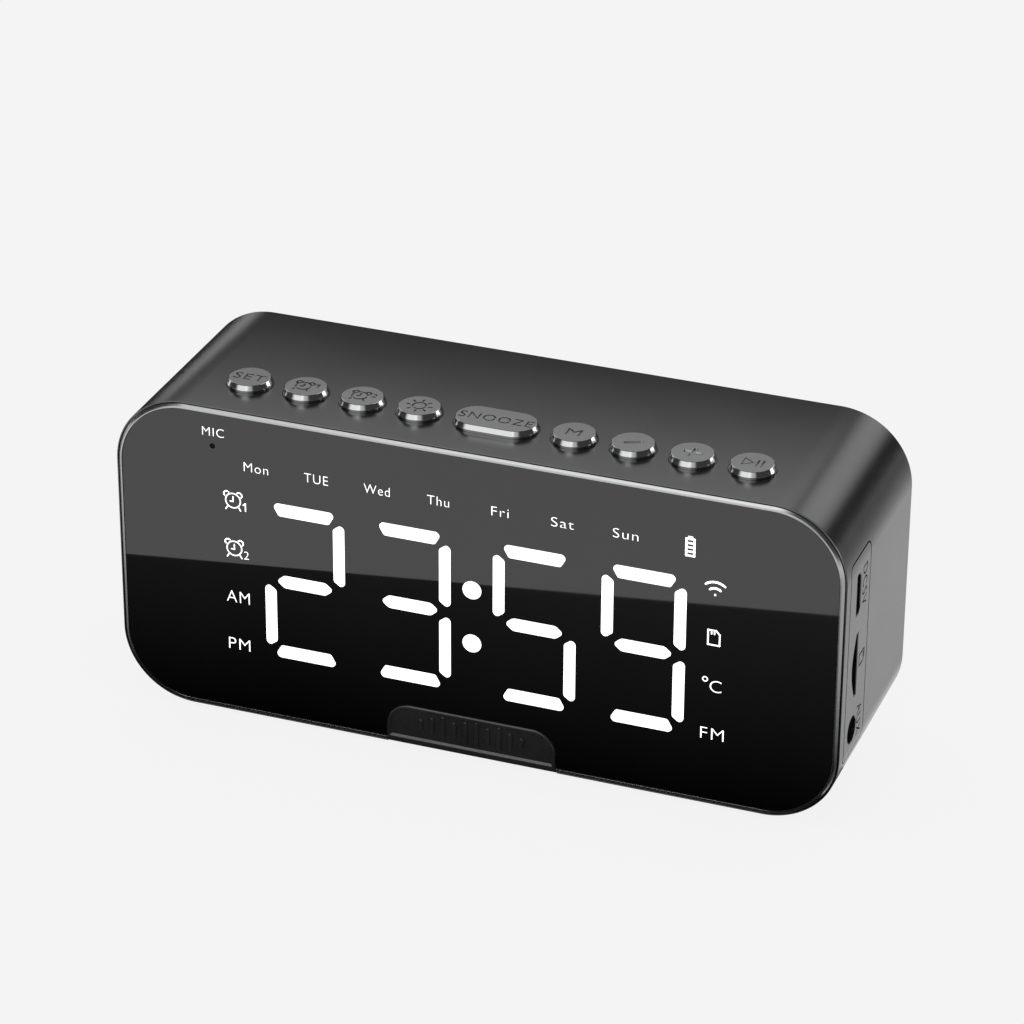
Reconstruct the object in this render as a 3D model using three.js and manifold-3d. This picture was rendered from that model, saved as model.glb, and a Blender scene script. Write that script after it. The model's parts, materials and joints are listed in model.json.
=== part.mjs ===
// Bedside alarm clock with a built-in speaker, in millimetres.
// +X is right as seen from the front, +Y runs back and +Z up. The origin is at the middle of the
// bounding box, on the surface that the feet rest on.
// Inside the group "clock", y = 0 is the sleeve's front end and z = 0 is its underside.
import * as THREE from 'three';
import { mergeVertices } from 'three/addons/utils/BufferGeometryUtils.js';
import Module from 'manifold-3d';

const wasm = await Module();
wasm.setup();

// ---------------------------------------------------------------- driving dimensions

// Sleeve
const caseLength = 140;
const caseHeight = 63;
const caseDepth = 41.5;
const caseRadius = 14;
const wall = 2;
const edgeChamfer = 0.2;
const lipWidth = 0.25;
const rebateDepth = 1.5;

// Bezel and lens
const bezelWidth = 0.85;
const bezelRise = 0.46;
const bezelCrest = 0.1;
const bezelFlange = 2.7;
const bezelFlangeThickness = 1.2;
const lensThickness = 1.2;
const lensRecess = 0.1;
const micHoleRadius = 0.55;
const micX = -50.4;
const micZ = 55.3;

// Keys on the top
const keyRow = 11.4;
const keyRowShift = 0.4;
const keyPitch = 11.12;
const keyRadius = 4.3;
const keyChamfer = 0.4;
const keyRise = 1.4;
const keyTravel = 0.4;
const keyFlangeGap = 0.3;
const keyFlangeThickness = 0.8;
const keyStemRadius = 1;
const snoozeLength = 16.1;

// Push switches and their board
const switchSize = 4.6;
const switchHeight = 1.3;
const switchWellDepth = 0.8;
const buttonBoardThickness = 1.2;
const buttonBoardWidth = 9.6;
const buttonBoardEnd = 5.5;

// Display: four digits and a colon, seen through the lens
const digitCentres = [-32.75, -12.05, 12.05, 32.75];
const digitWidth = 16.2;
const digitHeight = 32.2;
const digitMiddleZ = 29.75;
const strokeWidth = 2.6;
const strokeLength = 11.6;
const uprightLength = 12.5;
const colonX = 0;
const colonSpread = 5.5;
const colonRadius = 1.95;
const dayRowZ = 52.25;
const dayCount = 7;
const dayHalfWidth = 4;
const dayHalfHeight = 1.5;
const firstDayX = -41.85;
const dayPitch = 11.85;
const signColumnX = 46.2;
const firstSignZ = 14.7;
const signPitch = 10;
const signRows = 4;
const signHalf = 2.6;
const maskHalfLength = 54;
const maskLow = 9.5;
const maskHigh = 54;
const maskDepth = 7.4;
const diffuserThickness = 0.5;

// Main board
const boardThickness = 1.2;
const boardGap = 2.2;
const boardHeadroom = 6.7;
const boardScrewRadius = 0.8;
const boardScrewHead = 1.7;
const boardScrewHeadHeight = 1;
const boardCornerRadius = 8;
const ledSize = 1.4;
const ledHeight = 0.8;
const micRadius = 2;
const micThickness = 1.6;

// Port plate on the right side
const plateFront = 2.7;
const plateWidth = 12;
const plateLow = 11.7;
const plateHeight = 39.7;
const plateRadius = 1.3;
const plateFlange = 1.2;
const plateFlangeThickness = 1;
const socketRecess = 1.4;
const usbY = 7.8;
const usbFromTop = 7.3;
const usbWidth = 2.6;
const usbLength = 8.2;
const usbDepth = 6.4;
const usbSkin = 0.35;
const usbTongueThickness = 0.6;
const usbTongueLength = 3.8;
const cardY = 8.3;
const cardFromLow = 17.8;
const cardLength = 12.65;
const cardSlotWidth = 0.9;
const cardDepth = 12.2;
const cardShell = 0.8;
const cardSlotSide = 0.7;
const fingerNotch = 2.7;
const fingerNotchEnd = 1.2;
const auxY = 7.2;
const auxFromLow = 4.95;
const auxRadius = 2.6;
const auxBoreRadius = 1.8;
const auxDepth = 11.5;
const auxBodyFront = 2.4;
const auxBodyHalf = 3.1;
const socketFloor = 1;

// Rubber strap under the case, with its tab over the lower edge of the lens
const strapWidth = 33.1;
const tabTop = 8.65;
const tabFront = -0.7;
const tabRadius = 4.5;
const tabThickness = 1.8;
const tabRim = 0.8;
const tabPanelDepth = 0.25;
const tabPanelLow = 1.9;
const heelRadius = 1.2;
const heelLow = 0.1;
const soleSlope = 1;
const strapRecess = 0.8;
const strapRearMargin = 6;
const footHeight = 0.8;
const footLength = 16;
const footWidth = 6;
const footX = 50;
const footMargin = 8;

// Chassis
const postRadius = 2.75;
const postBite = 0.73;
const postAngle = 36.4;
const chassisRim = 1.6;
const chassisRimDepth = 3.55;
const bossRadius = 1.9;
const bossFromEnd = 13.5;
const bossLowZ = 7.5;
const bossHeadroom = 9;
const webHalf = 1;
const webBite = 1;
const shelfBite = 3.6;
const shelfDepth = 4;
const shelfThickness = 1.2;

// Rear cover
const coverThickness = 2.2;
const coverRecess = 0.4;
const coverSkirt = 4.4;
const coverSkirtThickness = 1.6;
const slotCount = 19;
const slotPitch = 3.6;
const slotWidth = 1.8;
const slotHeight = 34;
const screenLength = 76;
const screenHeight = 40;
const screenThickness = 0.35;
const screenCorner = 4;
const screwHeadRadius = 2.1;
const screwHeadHeight = 1;
const screwHeadRound = 0.5;
const screwHeadSide = 0.7;
const screwRadius = 1;
const screwBite = 8;

// Speaker
const speakerRadius = 20;
const magnetRadius = 12.5;
const coneTravel = 0.5;
const gasketThickness = 0.7;
const coilRadius = 4;
const coilHalfThickness = 0.3;
const coilBite = 1.5;
const coilRise = 2.8;
const coneSkin = 0.4;
const coneEdge = 5;
const coneNeck = 0.6;
const coneRise = 0.9;
const domeRise = 0.5;
const surroundSkin = 0.3;
const surroundRoll = 0.5;
const basketSeat = 3;
const basketSkin = 0.8;
const basketDepth = 9.4;
const lipDrop = 1.1;
const magnetBoreGap = 1;
const gasketWidth = 2.4;
const basketFloorRadius = 11;
const speakerFlangeThickness = 1;
const topPlateThickness = 1.7;
const magnetThickness = 4.3;
const yokeThickness = 2;
const yokeStep = 0.5;
const spiderWaves = 3;
const spiderWave = 0.5;
const spiderRise = 1.5;
const leadRadius = 0.7;
const leadX = 30;
const leadZ = 12;
const leadSag = 2.5;

// Battery
const cellLength = 46;
const cellHeight = 32;
const cellThickness = 6;
const cellX = -30;
const cellZ = 30;
const cellCorner = 2;
const padThickness = 0.8;

// Clearances
const seam = 0.1;
const slip = 0.12;
const looseFit = 0.3;

// ---------------------------------------------------------------- derived places

const caseMiddleZ = caseHeight / 2;
const halfLength = caseLength / 2;
const keySpace = keyPitch - 2 * keyRadius;
const firstKeyX = snoozeLength / 2 + keySpace + keyRadius;
const keyFlange = (keySpace - keyFlangeGap) / 2;
const boardInset = wall + boardGap;
const boardTop = caseHeight - wall - boardHeadroom;
const usbZ = plateLow + plateHeight - usbFromTop;
const cardZ = plateLow + cardFromLow;
const auxZ = plateLow + auxFromLow;
const rimInset = wall + looseFit + chassisRim;
const postReach = caseRadius - rimInset - postRadius + postBite;
const postTurn = postAngle * Math.PI / 180;
const postX = halfLength - caseRadius + postReach * Math.cos(postTurn);
const postLowZ = caseRadius - postReach * Math.sin(postTurn);
const postHighZ = caseHeight - postLowZ;
const bossX = halfLength - bossFromEnd;
const bossHighZ = caseHeight - wall - bossHeadroom;
const bezelOuter = lipWidth + seam;
const crestInset = bezelOuter + bezelWidth;
const pocketInset = crestInset + bezelCrest;
const lensFront = lensRecess - bezelRise;
const lensBack = lensFront + lensThickness;
const flangeFront = lensBack + seam;
const flangeBack = flangeFront + bezelFlangeThickness;
const shellInset = wall + 2 * seam;
const chassisFront = flangeBack + 2 * seam;
const chassisBack = chassisFront + chassisRimDepth;
const diffuserFront = lensBack + 2 * seam;
const maskFront = diffuserFront + diffuserThickness + seam;
const maskBack = maskFront + maskDepth;
const boardFront = maskBack + 2 * seam;
const boardBack = boardFront + boardThickness;
const coverBack = caseDepth - coverRecess;
const coverFront = coverBack - coverThickness;
const postBack = coverFront - seam;
const roofUnderside = caseHeight - wall;
const flangeTop = roofUnderside - looseFit;
const flangeLow = flangeTop - keyFlangeThickness;
const switchTop = flangeLow - keyTravel - 3 * looseFit;
const stemTip = switchTop - looseFit;
const buttonBoardTop = switchTop - switchHeight - seam;
const buttonBoardLow = buttonBoardTop - buttonBoardThickness;
const shelfTop = buttonBoardLow - seam;

// ---------------------------------------------------------------- solids

const alongX = new THREE.Vector3(1, 0, 0);
const alongY = new THREE.Vector3(0, 1, 0);
const alongZ = new THREE.Vector3(0, 0, 1);
const ontoFront = new THREE.Matrix4().makeBasis(alongX, alongZ, alongY.clone().negate());
const ontoSide = new THREE.Matrix4().makeBasis(alongY, alongZ, alongX);

// A closed geometry as a manifold solid, without the flat triangles that a lathe leaves on its axis.
function solid(geometry) {
  geometry.deleteAttribute('normal');
  geometry.deleteAttribute('uv');
  const merged = mergeVertices(geometry);
  const triangles = [];
  const index = merged.index.array;
  for (let i = 0; i < index.length; i += 3) {
    const [a, b, c] = [index[i], index[i + 1], index[i + 2]];
    if (a !== b && b !== c && c !== a) triangles.push(a, b, c);
  }
  return new wasm.Manifold(new wasm.Mesh({
    numProp: 3,
    vertProperties: new Float32Array(merged.attributes.position.array),
    triVerts: new Uint32Array(triangles),
  }));
}

function extrusion(outline, depth, curveSegments, bevel = {}) {
  return new THREE.ExtrudeGeometry(outline, { depth, curveSegments, bevelEnabled: false, ...bevel });
}

// Outline in x and z, carried from y = front to y = back.
function frontPrism(outline, front, back, curveSegments = 4) {
  const geometry = extrusion(outline, back - front, curveSegments);
  return solid(geometry.applyMatrix4(ontoFront).translate(0, back, 0));
}

// The same with a chamfer round the front edge; the outline is the small one, at the front.
function chamferedPrism(outline, front, back, rise, run, curveSegments = 4) {
  const bevel = { bevelEnabled: true, bevelThickness: rise, bevelSize: run, bevelSegments: 1 };
  const geometry = extrusion(outline, back - front, curveSegments, bevel);
  geometry.applyMatrix4(ontoFront).translate(0, back + rise, 0);
  const behind = box([-caseLength, caseLength], [back, back + caseDepth], [-caseHeight, 2 * caseHeight]);
  return solid(geometry).subtract(behind);
}

// Outline in x and y, carried from z = low to z = high.
function topPrism(outline, low, high, curveSegments = 4) {
  return solid(extrusion(outline, high - low, curveSegments).translate(0, 0, low));
}

// Outline in y and z, carried from x = left to x = right.
function sidePrism(outline, left, right, curveSegments = 4) {
  return solid(extrusion(outline, right - left, curveSegments).applyMatrix4(ontoSide).translate(left, 0, 0));
}

function box([x0, x1], [y0, y1], [z0, z1]) {
  const geometry = new THREE.BoxGeometry(x1 - x0, y1 - y0, z1 - z0);
  return solid(geometry.translate((x0 + x1) / 2, (y0 + y1) / 2, (z0 + z1) / 2));
}

// A pin of round section along y, x or z, between two places on that axis.
function pinY(radius, x, z, front, back, sides = 10) {
  const geometry = new THREE.CylinderGeometry(radius, radius, back - front, sides);
  return solid(geometry.translate(x, (front + back) / 2, z));
}

function pinX(radius, y, z, left, right, sides = 16) {
  const geometry = new THREE.CylinderGeometry(radius, radius, right - left, sides);
  return solid(geometry.rotateZ(Math.PI / 2).translate((left + right) / 2, y, z));
}

function pinZ(radius, x, y, low, high, sides = 16) {
  const geometry = new THREE.CylinderGeometry(radius, radius, high - low, sides);
  return solid(geometry.rotateX(Math.PI / 2).translate(x, y, (low + high) / 2));
}

// A closed profile of [radius, height] points turned about +Y, with its faces out.
function turned(profile, sides = 16) {
  let twiceArea = 0;
  for (const [i, [r0, y0]] of profile.entries()) {
    const [r1, y1] = profile[(i + 1) % profile.length];
    twiceArea += r0 * y1 - r1 * y0;
  }
  const points = profile.map(([radius, y]) => new THREE.Vector2(radius, y));
  if (twiceArea < 0) points.reverse();
  const onAxis = points.filter((point) => point.x === 0).length;
  if (onAxis === 0) points.push(points[0].clone());
  return solid(new THREE.LatheGeometry(points, sides));
}

// ---------------------------------------------------------------- outlines

function roundedRect(width, height, radius, x = 0, y = 0) {
  const right = x + width / 2 - radius;
  const left = x - width / 2 + radius;
  const top = y + height / 2 - radius;
  const low = y - height / 2 + radius;
  const shape = new THREE.Shape();
  shape.absarc(right, top, radius, 0, Math.PI / 2);
  shape.absarc(left, top, radius, Math.PI / 2, Math.PI);
  shape.absarc(left, low, radius, Math.PI, 1.5 * Math.PI);
  shape.absarc(right, low, radius, 1.5 * Math.PI, 2 * Math.PI);
  shape.closePath();
  return shape;
}

function pill(length, width, x = 0, y = 0) {
  const radius = width / 2;
  const reach = length / 2 - radius;
  const shape = new THREE.Shape();
  shape.absarc(x + reach, y, radius, -Math.PI / 2, Math.PI / 2);
  shape.absarc(x - reach, y, radius, Math.PI / 2, 1.5 * Math.PI);
  shape.closePath();
  return shape;
}

function uprightPill(height, width, x, z) {
  const radius = width / 2;
  const reach = height / 2 - radius;
  const shape = new THREE.Shape();
  shape.absarc(x, z + reach, radius, 0, Math.PI);
  shape.absarc(x, z - reach, radius, Math.PI, 2 * Math.PI);
  shape.closePath();
  return shape;
}

function disc(radius, x = 0, y = 0) {
  const shape = new THREE.Shape();
  shape.absarc(x, y, radius, 0, 2 * Math.PI);
  return shape;
}

// The case's outline, drawn in by a distance all round.
function caseOutline(inset) {
  const width = caseLength - 2 * inset;
  const height = caseHeight - 2 * inset;
  return roundedRect(width, height, caseRadius - inset, 0, caseMiddleZ);
}

// The tab's outline from the front: square below, rounded above.
function tabOutline(grow, low = -footHeight - wall) {
  const half = strapWidth / 2 + grow;
  const top = tabTop + grow;
  const radius = tabRadius + grow;
  const shape = new THREE.Shape();
  shape.moveTo(-half, low);
  shape.lineTo(half, low);
  shape.absarc(half - radius, top - radius, radius, 0, Math.PI / 2);
  shape.absarc(-half + radius, top - radius, radius, Math.PI / 2, Math.PI);
  shape.closePath();
  return shape;
}

// A six-sided bar with pointed ends, as one segment of a digit.
function segment(length, width, x, z, upright) {
  const half = length / 2;
  const side = width / 2;
  const corners = [
    [-half, 0], [-half + side, -side], [half - side, -side],
    [half, 0], [half - side, side], [-half + side, side],
  ];
  const points = corners.map(([along, across]) => (
    upright ? new THREE.Vector2(x - across, z + along) : new THREE.Vector2(x + along, z + across)
  ));
  return new THREE.Shape(points);
}

// Centres of the seven bars of each digit.
function digitBars() {
  const bars = [];
  const reach = digitHeight / 2 - strokeWidth / 2;
  const sideways = digitWidth / 2 - strokeWidth / 2;
  for (const x of digitCentres) {
    for (const row of [-1, 0, 1]) bars.push({ x, z: digitMiddleZ + row * reach, upright: false });
    for (const column of [-1, 1]) {
      for (const row of [-1, 1]) {
        bars.push({ x: x + column * sideways, z: digitMiddleZ + row * reach / 2, upright: true });
      }
    }
  }
  return bars;
}

// ---------------------------------------------------------------- materials

const finishes = {
  sleeve: [0x3c3d3f, 0.38, 0.7],
  bezel: [0x9a9c9f, 0.3, 0.9],
  lens: [0x050506, 0.08, 0.1],
  key: [0x77797b, 0.35, 0.9],
  blackPlastic: [0x1b1b1c, 0.5, 0],
  whitePlastic: [0xe8e8e4, 0.6, 0],
  greyPlastic: [0x57595b, 0.6, 0],
  rubber: [0x262627, 0.7, 0],
  board: [0x0d3b22, 0.5, 0],
  steel: [0xa9abad, 0.35, 1],
  magnet: [0x2b2b2d, 0.8, 0.2],
  paper: [0x242322, 0.9, 0],
  copper: [0xb5652d, 0.4, 1],
  foil: [0xc7c9cc, 0.4, 0.8],
  foam: [0x333333, 1, 0],
  cable: [0x8c1d18, 0.6, 0],
};

const clock = new THREE.Group();
clock.position.set(0, -(tabFront + caseDepth) / 2, footHeight);

function add(name, shape, finish, [x, y, z] = [0, 0, 0]) {
  const mesh = shape.getMesh();
  const geometry = new THREE.BufferGeometry();
  geometry.setAttribute('position', new THREE.BufferAttribute(mesh.vertProperties, 3));
  geometry.setIndex(new THREE.BufferAttribute(mesh.triVerts, 1));
  geometry.computeVertexNormals();
  const [color, roughness, metalness] = finishes[finish];
  const material = new THREE.MeshStandardMaterial({ color, roughness, metalness });
  const part = new THREE.Mesh(geometry, material);
  part.name = name;
  part.position.set(x, y, z);
  clock.add(part);
}

// ---------------------------------------------------------------- keys

// Round keys stand either side of the snooze bar; their names run left to right.
const keys = [
  ['key_set', -4], ['key_alarm_1', -3], ['key_alarm_2', -2], ['key_light', -1], ['key_snooze', 0],
  ['key_mode', 1], ['key_minus', 2], ['key_plus', 3], ['key_play', 4],
].map(([name, place]) => ({
  name,
  wide: place === 0,
  x: keyRowShift + Math.sign(place) * (firstKeyX + (Math.abs(place) - 1) * keyPitch),
}));
const keySides = 5;
const stemSides = 10;

function keyOutline(grow) {
  return (key) => (key.wide
    ? pill(snoozeLength + 2 * grow, 2 * (keyRadius + grow))
    : disc(keyRadius + grow));
}

function keySolid(key) {
  const top = caseHeight + keyRise;
  const small = keyOutline(-keyChamfer)(key);
  const bevel = { bevelEnabled: true, bevelThickness: keyChamfer, bevelSize: keyChamfer, bevelSegments: 1 };
  const height = top - flangeTop;
  const cap = solid(extrusion(small, height, keySides, bevel).translate(0, 0, flangeTop - keyChamfer));
  const flange = topPrism(keyOutline(keyFlange)(key), flangeLow, flangeTop, keySides);
  const stem = pinZ(keyStemRadius, 0, 0, stemTip, flangeLow + seam, stemSides);
  return cap.add(flange).add(stem);
}

for (const key of keys) add(key.name, keySolid(key), 'key', [key.x, keyRow, 0]);

function switchSolid() {
  const half = switchSize / 2;
  const body = box([-half, half], [-half, half], [switchTop - switchHeight, switchTop]);
  const wellRadius = keyStemRadius + 2 * seam;
  return body.subtract(pinZ(wellRadius, 0, 0, switchTop - switchWellDepth, switchTop + wall, stemSides));
}

for (const key of keys) {
  add(key.name.replace('key', 'switch'), switchSolid(), 'blackPlastic', [key.x, keyRow, 0]);
}

// ---------------------------------------------------------------- sleeve

const strapBack = caseDepth - strapRearMargin;
const neckBack = flangeBack;
const neckTop = shellInset - 2 * seam - looseFit;
const strapHalf = strapWidth / 2;
const strapReach = [-strapHalf - seam, strapHalf + seam];

function sleeve() {
  const middle = caseDepth / 2;
  const outline = caseOutline(edgeChamfer);
  const front = chamferedPrism(outline, 0, middle, edgeChamfer, edgeChamfer);
  const rear = solid(extrusion(outline, middle, 4, {
    bevelEnabled: true, bevelThickness: edgeChamfer, bevelSize: edgeChamfer, bevelSegments: 1,
  }).applyMatrix4(ontoFront).translate(0, caseDepth - edgeChamfer, 0));
  const body = front.add(rear.subtract(frontPrism(caseOutline(-wall), 0, middle)));
  const bore = frontPrism(caseOutline(wall), -wall, caseDepth + wall);
  const rebate = frontPrism(caseOutline(lipWidth), -wall, rebateDepth);
  let shell = body.subtract(bore).subtract(rebate);
  for (const key of keys) {
    const hole = topPrism(keyOutline(slip)(key), roofUnderside - wall, caseHeight + wall, keySides);
    shell = shell.subtract(hole.translate([key.x, keyRow, 0]));
  }
  const window = sidePrism(plateOutline(seam), halfLength - 2 * wall, halfLength + wall);
  const channel = box(strapReach, [-wall, strapBack + seam], [-wall, strapRecess]);
  const notch = box(strapReach, [-wall, neckBack], [-wall, 2 * wall]);
  return shell.subtract(window).subtract(channel).subtract(notch);
}

// ---------------------------------------------------------------- bezel and lens

const tabCut = frontPrism(tabOutline(seam), tabFront - wall, tabFront + tabThickness + seam);

function bezel() {
  const rim = chamferedPrism(caseOutline(crestInset), -bezelRise, rebateDepth - seam, bezelRise, bezelWidth);
  const neck = frontPrism(caseOutline(shellInset), 0, flangeBack);
  const pocket = frontPrism(caseOutline(pocketInset), -wall, flangeFront);
  const opening = frontPrism(caseOutline(pocketInset + bezelFlange), -wall, flangeBack + wall);
  const neckCut = box(strapReach, [-wall, flangeBack + wall], [-wall, neckTop + seam]);
  return rim.add(neck).subtract(pocket).subtract(opening).subtract(tabCut).subtract(neckCut);
}

function lens() {
  const plate = frontPrism(caseOutline(pocketInset + seam), lensFront, lensBack);
  const micHole = pinY(micHoleRadius, micX, micZ, lensFront - wall, lensBack + wall, 10);
  return plate.subtract(tabCut).subtract(micHole);
}

// ---------------------------------------------------------------- display

const micRelief = pinY(micRadius + looseFit, micX, micZ, 0, caseDepth);

function windows(front, back) {
  const cuts = digitBars().map(({ x, z, upright }) => {
    const length = upright ? uprightLength : strokeLength;
    return frontPrism(segment(length, strokeWidth, x, z, upright), front, back);
  });
  for (const side of [-1, 1]) {
    cuts.push(pinY(colonRadius, colonX, digitMiddleZ + side * colonSpread, front, back, 10));
    for (let row = 0; row < signRows; row += 1) {
      const [x, z] = [side * signColumnX, firstSignZ + row * signPitch];
      cuts.push(box([x - signHalf, x + signHalf], [front, back], [z - signHalf, z + signHalf]));
    }
  }
  for (let day = 0; day < dayCount; day += 1) {
    const x = firstDayX + day * dayPitch;
    const rows = [dayRowZ - dayHalfHeight, dayRowZ + dayHalfHeight];
    cuts.push(box([x - dayHalfWidth, x + dayHalfWidth], [front, back], rows));
  }
  return cuts;
}

function housing() {
  let block = box([-maskHalfLength, maskHalfLength], [maskFront, maskBack], [maskLow, maskHigh]);
  for (const cut of windows(maskFront - wall, maskBack + wall)) block = block.subtract(cut);
  return block.subtract(micRelief);
}

function diffuser() {
  const back = diffuserFront + diffuserThickness;
  const sheet = box([-maskHalfLength, maskHalfLength], [diffuserFront, back], [maskLow, maskHigh]);
  return sheet.subtract(micRelief);
}

// ---------------------------------------------------------------- boards

const postCentres = [-1, 1].flatMap((side) => [postLowZ, postHighZ].map((z) => [side * postX, z]));
const bossCentres = [-1, 1].flatMap((side) => [bossLowZ, bossHighZ].map((z) => [side * bossX, z]));

function mainBoard() {
  const width = caseLength - 2 * boardInset;
  const height = boardTop - boardInset;
  const outline = roundedRect(width, height, boardCornerRadius, 0, boardInset + height / 2);
  let board = frontPrism(outline, boardFront, boardBack);
  for (const [x, z] of postCentres) {
    board = board.subtract(pinY(postRadius + looseFit, x, z, boardFront - wall, boardBack + wall));
  }
  for (const [x, z] of bossCentres) {
    board = board.subtract(pinY(boardScrewRadius + 2 * seam, x, z, boardFront - wall, boardBack + wall));
  }
  const half = ledSize / 2;
  const ledPlace = [boardFront - ledHeight, boardFront + seam];
  for (const { x, z } of digitBars()) {
    board = board.add(box([x - half, x + half], ledPlace, [z - half, z + half]));
  }
  return board;
}

const buttonReach = keys[keys.length - 1].x + buttonBoardEnd;

function buttonBoard() {
  const half = buttonBoardWidth / 2;
  return box([-buttonReach, buttonReach], [keyRow - half, keyRow + half], [buttonBoardLow, buttonBoardTop]);
}

// ---------------------------------------------------------------- chassis

const pilotRadius = screwRadius + seam;

function chassis() {
  const rim = frontPrism(caseOutline(wall + looseFit), chassisFront, chassisBack);
  let frame = rim.subtract(frontPrism(caseOutline(rimInset), 0, caseDepth));
  for (const [x, z] of postCentres) {
    frame = frame.add(pinY(postRadius, x, z, chassisFront, postBack));
  }
  const bossFront = boardFront - seam;
  const webBack = bossFront - looseFit;
  for (const side of [-1, 1]) {
    const shelfX = [side * (buttonReach - shelfBite), side * postX].sort((a, b) => a - b);
    const shelfZ = [shelfTop - shelfThickness, shelfTop];
    const webX = [side * bossX - webHalf, side * bossX + webHalf];
    frame = frame.add(box(shelfX, [chassisBack, keyRow + shelfDepth], shelfZ));
    frame = frame.add(box(webX, [chassisBack - webBite, webBack], [bossHighZ, shelfTop]));
    frame = frame.add(box(webX, [chassisFront + webBite, webBack], [wall + webBite, bossLowZ]));
    for (const z of [bossLowZ, bossHighZ]) {
      frame = frame.add(pinY(bossRadius, side * bossX, z, chassisBack - webBite, bossFront));
    }
  }
  for (const [x, z] of bossCentres) {
    frame = frame.subtract(pinY(boardScrewRadius + seam, x, z, chassisBack, boardFront));
  }
  const reliefHalf = auxBodyHalf + looseFit;
  const reliefY = [auxY - auxBodyFront - looseFit, caseDepth];
  frame = frame.subtract(box([bossX, halfLength], reliefY, [auxZ - reliefHalf, auxZ + reliefHalf]));
  for (const [x, z] of postCentres) {
    frame = frame.subtract(pinY(pilotRadius, x, z, postBack - screwBite, postBack + wall));
  }
  return frame;
}

// Screw with the underside of its head at y = seam.
function boardScrew() {
  const shank = boardFront - seam - chassisBack;
  const tip = looseFit - boardThickness - shank;
  const crown = seam + boardScrewHeadHeight;
  return turned([
    [0, tip], [boardScrewRadius, tip], [boardScrewRadius, seam],
    [boardScrewHead, seam], [boardScrewHead, crown], [0, crown + looseFit],
  ], stemSides);
}

// ---------------------------------------------------------------- port plate and sockets

function plateOutline(grow) {
  const width = plateWidth + 2 * grow;
  const height = plateHeight + 2 * grow;
  const [y, z] = [plateFront + plateWidth / 2, plateLow + plateHeight / 2];
  return roundedRect(width, height, plateRadius + grow, y, z);
}

// The card slot's front side bows out so that a finger can press the card in.
function cardOutline() {
  const back = cardY + cardSlotWidth / 2 + seam;
  const side = back - fingerNotchEnd;
  const half = cardLength / 2;
  const shape = new THREE.Shape();
  shape.moveTo(back, cardZ + half);
  shape.lineTo(side, cardZ + half);
  shape.quadraticCurveTo(side - 2 * (fingerNotch - fingerNotchEnd), cardZ, side, cardZ - half);
  shape.lineTo(back, cardZ - half);
  shape.closePath();
  return shape;
}

const plateInner = halfLength - wall - seam;
const socketFace = plateInner - plateFlangeThickness - seam;
const socketMouth = halfLength - socketRecess;

function portPlate() {
  const outline = frontPrism(caseOutline(0), 0, caseDepth);
  const face = sidePrism(plateOutline(0), plateInner, halfLength).intersect(outline);
  const straightLow = Math.max(plateLow, caseRadius);
  const straightHigh = Math.min(plateLow + plateHeight, caseHeight - caseRadius);
  const flange = box(
    [plateInner - plateFlangeThickness, plateInner],
    [chassisBack + looseFit, plateFront + plateWidth + plateFlange],
    [straightLow, straightHigh],
  );
  const [near, far] = [plateInner - wall, halfLength + wall];
  const usbCut = sidePrism(roundedRect(usbWidth, usbLength, 2 * looseFit, usbY, usbZ), near, far, 2);
  const cardCut = sidePrism(cardOutline(), near, far, 5);
  const auxCut = pinX(auxRadius, auxY, auxZ, near, far, 20);
  return face.add(flange).subtract(usbCut).subtract(cardCut).subtract(auxCut);
}

function usbSocket() {
  const [width, length] = [usbWidth - 2 * seam, usbLength - 2 * looseFit];
  const outer = roundedRect(width, length, usbSkin, usbY, usbZ);
  const inner = roundedRect(width - 2 * usbSkin, length - 2 * usbSkin, seam, usbY, usbZ);
  const back = socketMouth - usbDepth;
  const shell = sidePrism(outer, back, socketMouth, 2);
  const mouth = sidePrism(inner, back + socketFloor, socketMouth + wall, 2);
  const tongue = box(
    [back + socketFloor / 2, socketMouth - socketFloor],
    [usbY, usbY + usbTongueThickness],
    [usbZ - usbTongueLength / 2, usbZ + usbTongueLength / 2],
  );
  return shell.subtract(mouth).add(tongue);
}

function cardSocket() {
  const half = cardLength / 2;
  const slotHalf = cardSlotWidth / 2;
  const back = socketFace - cardDepth;
  const shell = box(
    [back, socketFace],
    [cardY - cardShell, boardFront - seam],
    [cardZ - half - cardShell, cardZ + half + cardShell],
  );
  const slot = box(
    [back + socketFloor, socketFace + wall],
    [cardY - slotHalf, cardY + slotHalf],
    [cardZ - half + cardSlotSide, cardZ + half - cardSlotSide],
  );
  return shell.subtract(slot);
}

function audioJack() {
  const back = socketFace - auxDepth;
  const body = box(
    [back, socketFace],
    [auxY - auxBodyFront, boardFront - seam],
    [auxZ - auxBodyHalf, auxZ + auxBodyHalf],
  );
  const snout = pinX(auxRadius - 2 * seam, auxY, auxZ, socketFace - looseFit, socketMouth + looseFit, 20);
  const bore = pinX(auxBoreRadius, auxY, auxZ, back + socketFloor, halfLength);
  return body.add(snout).subtract(bore);
}

// ---------------------------------------------------------------- rubber strap and feet

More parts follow.
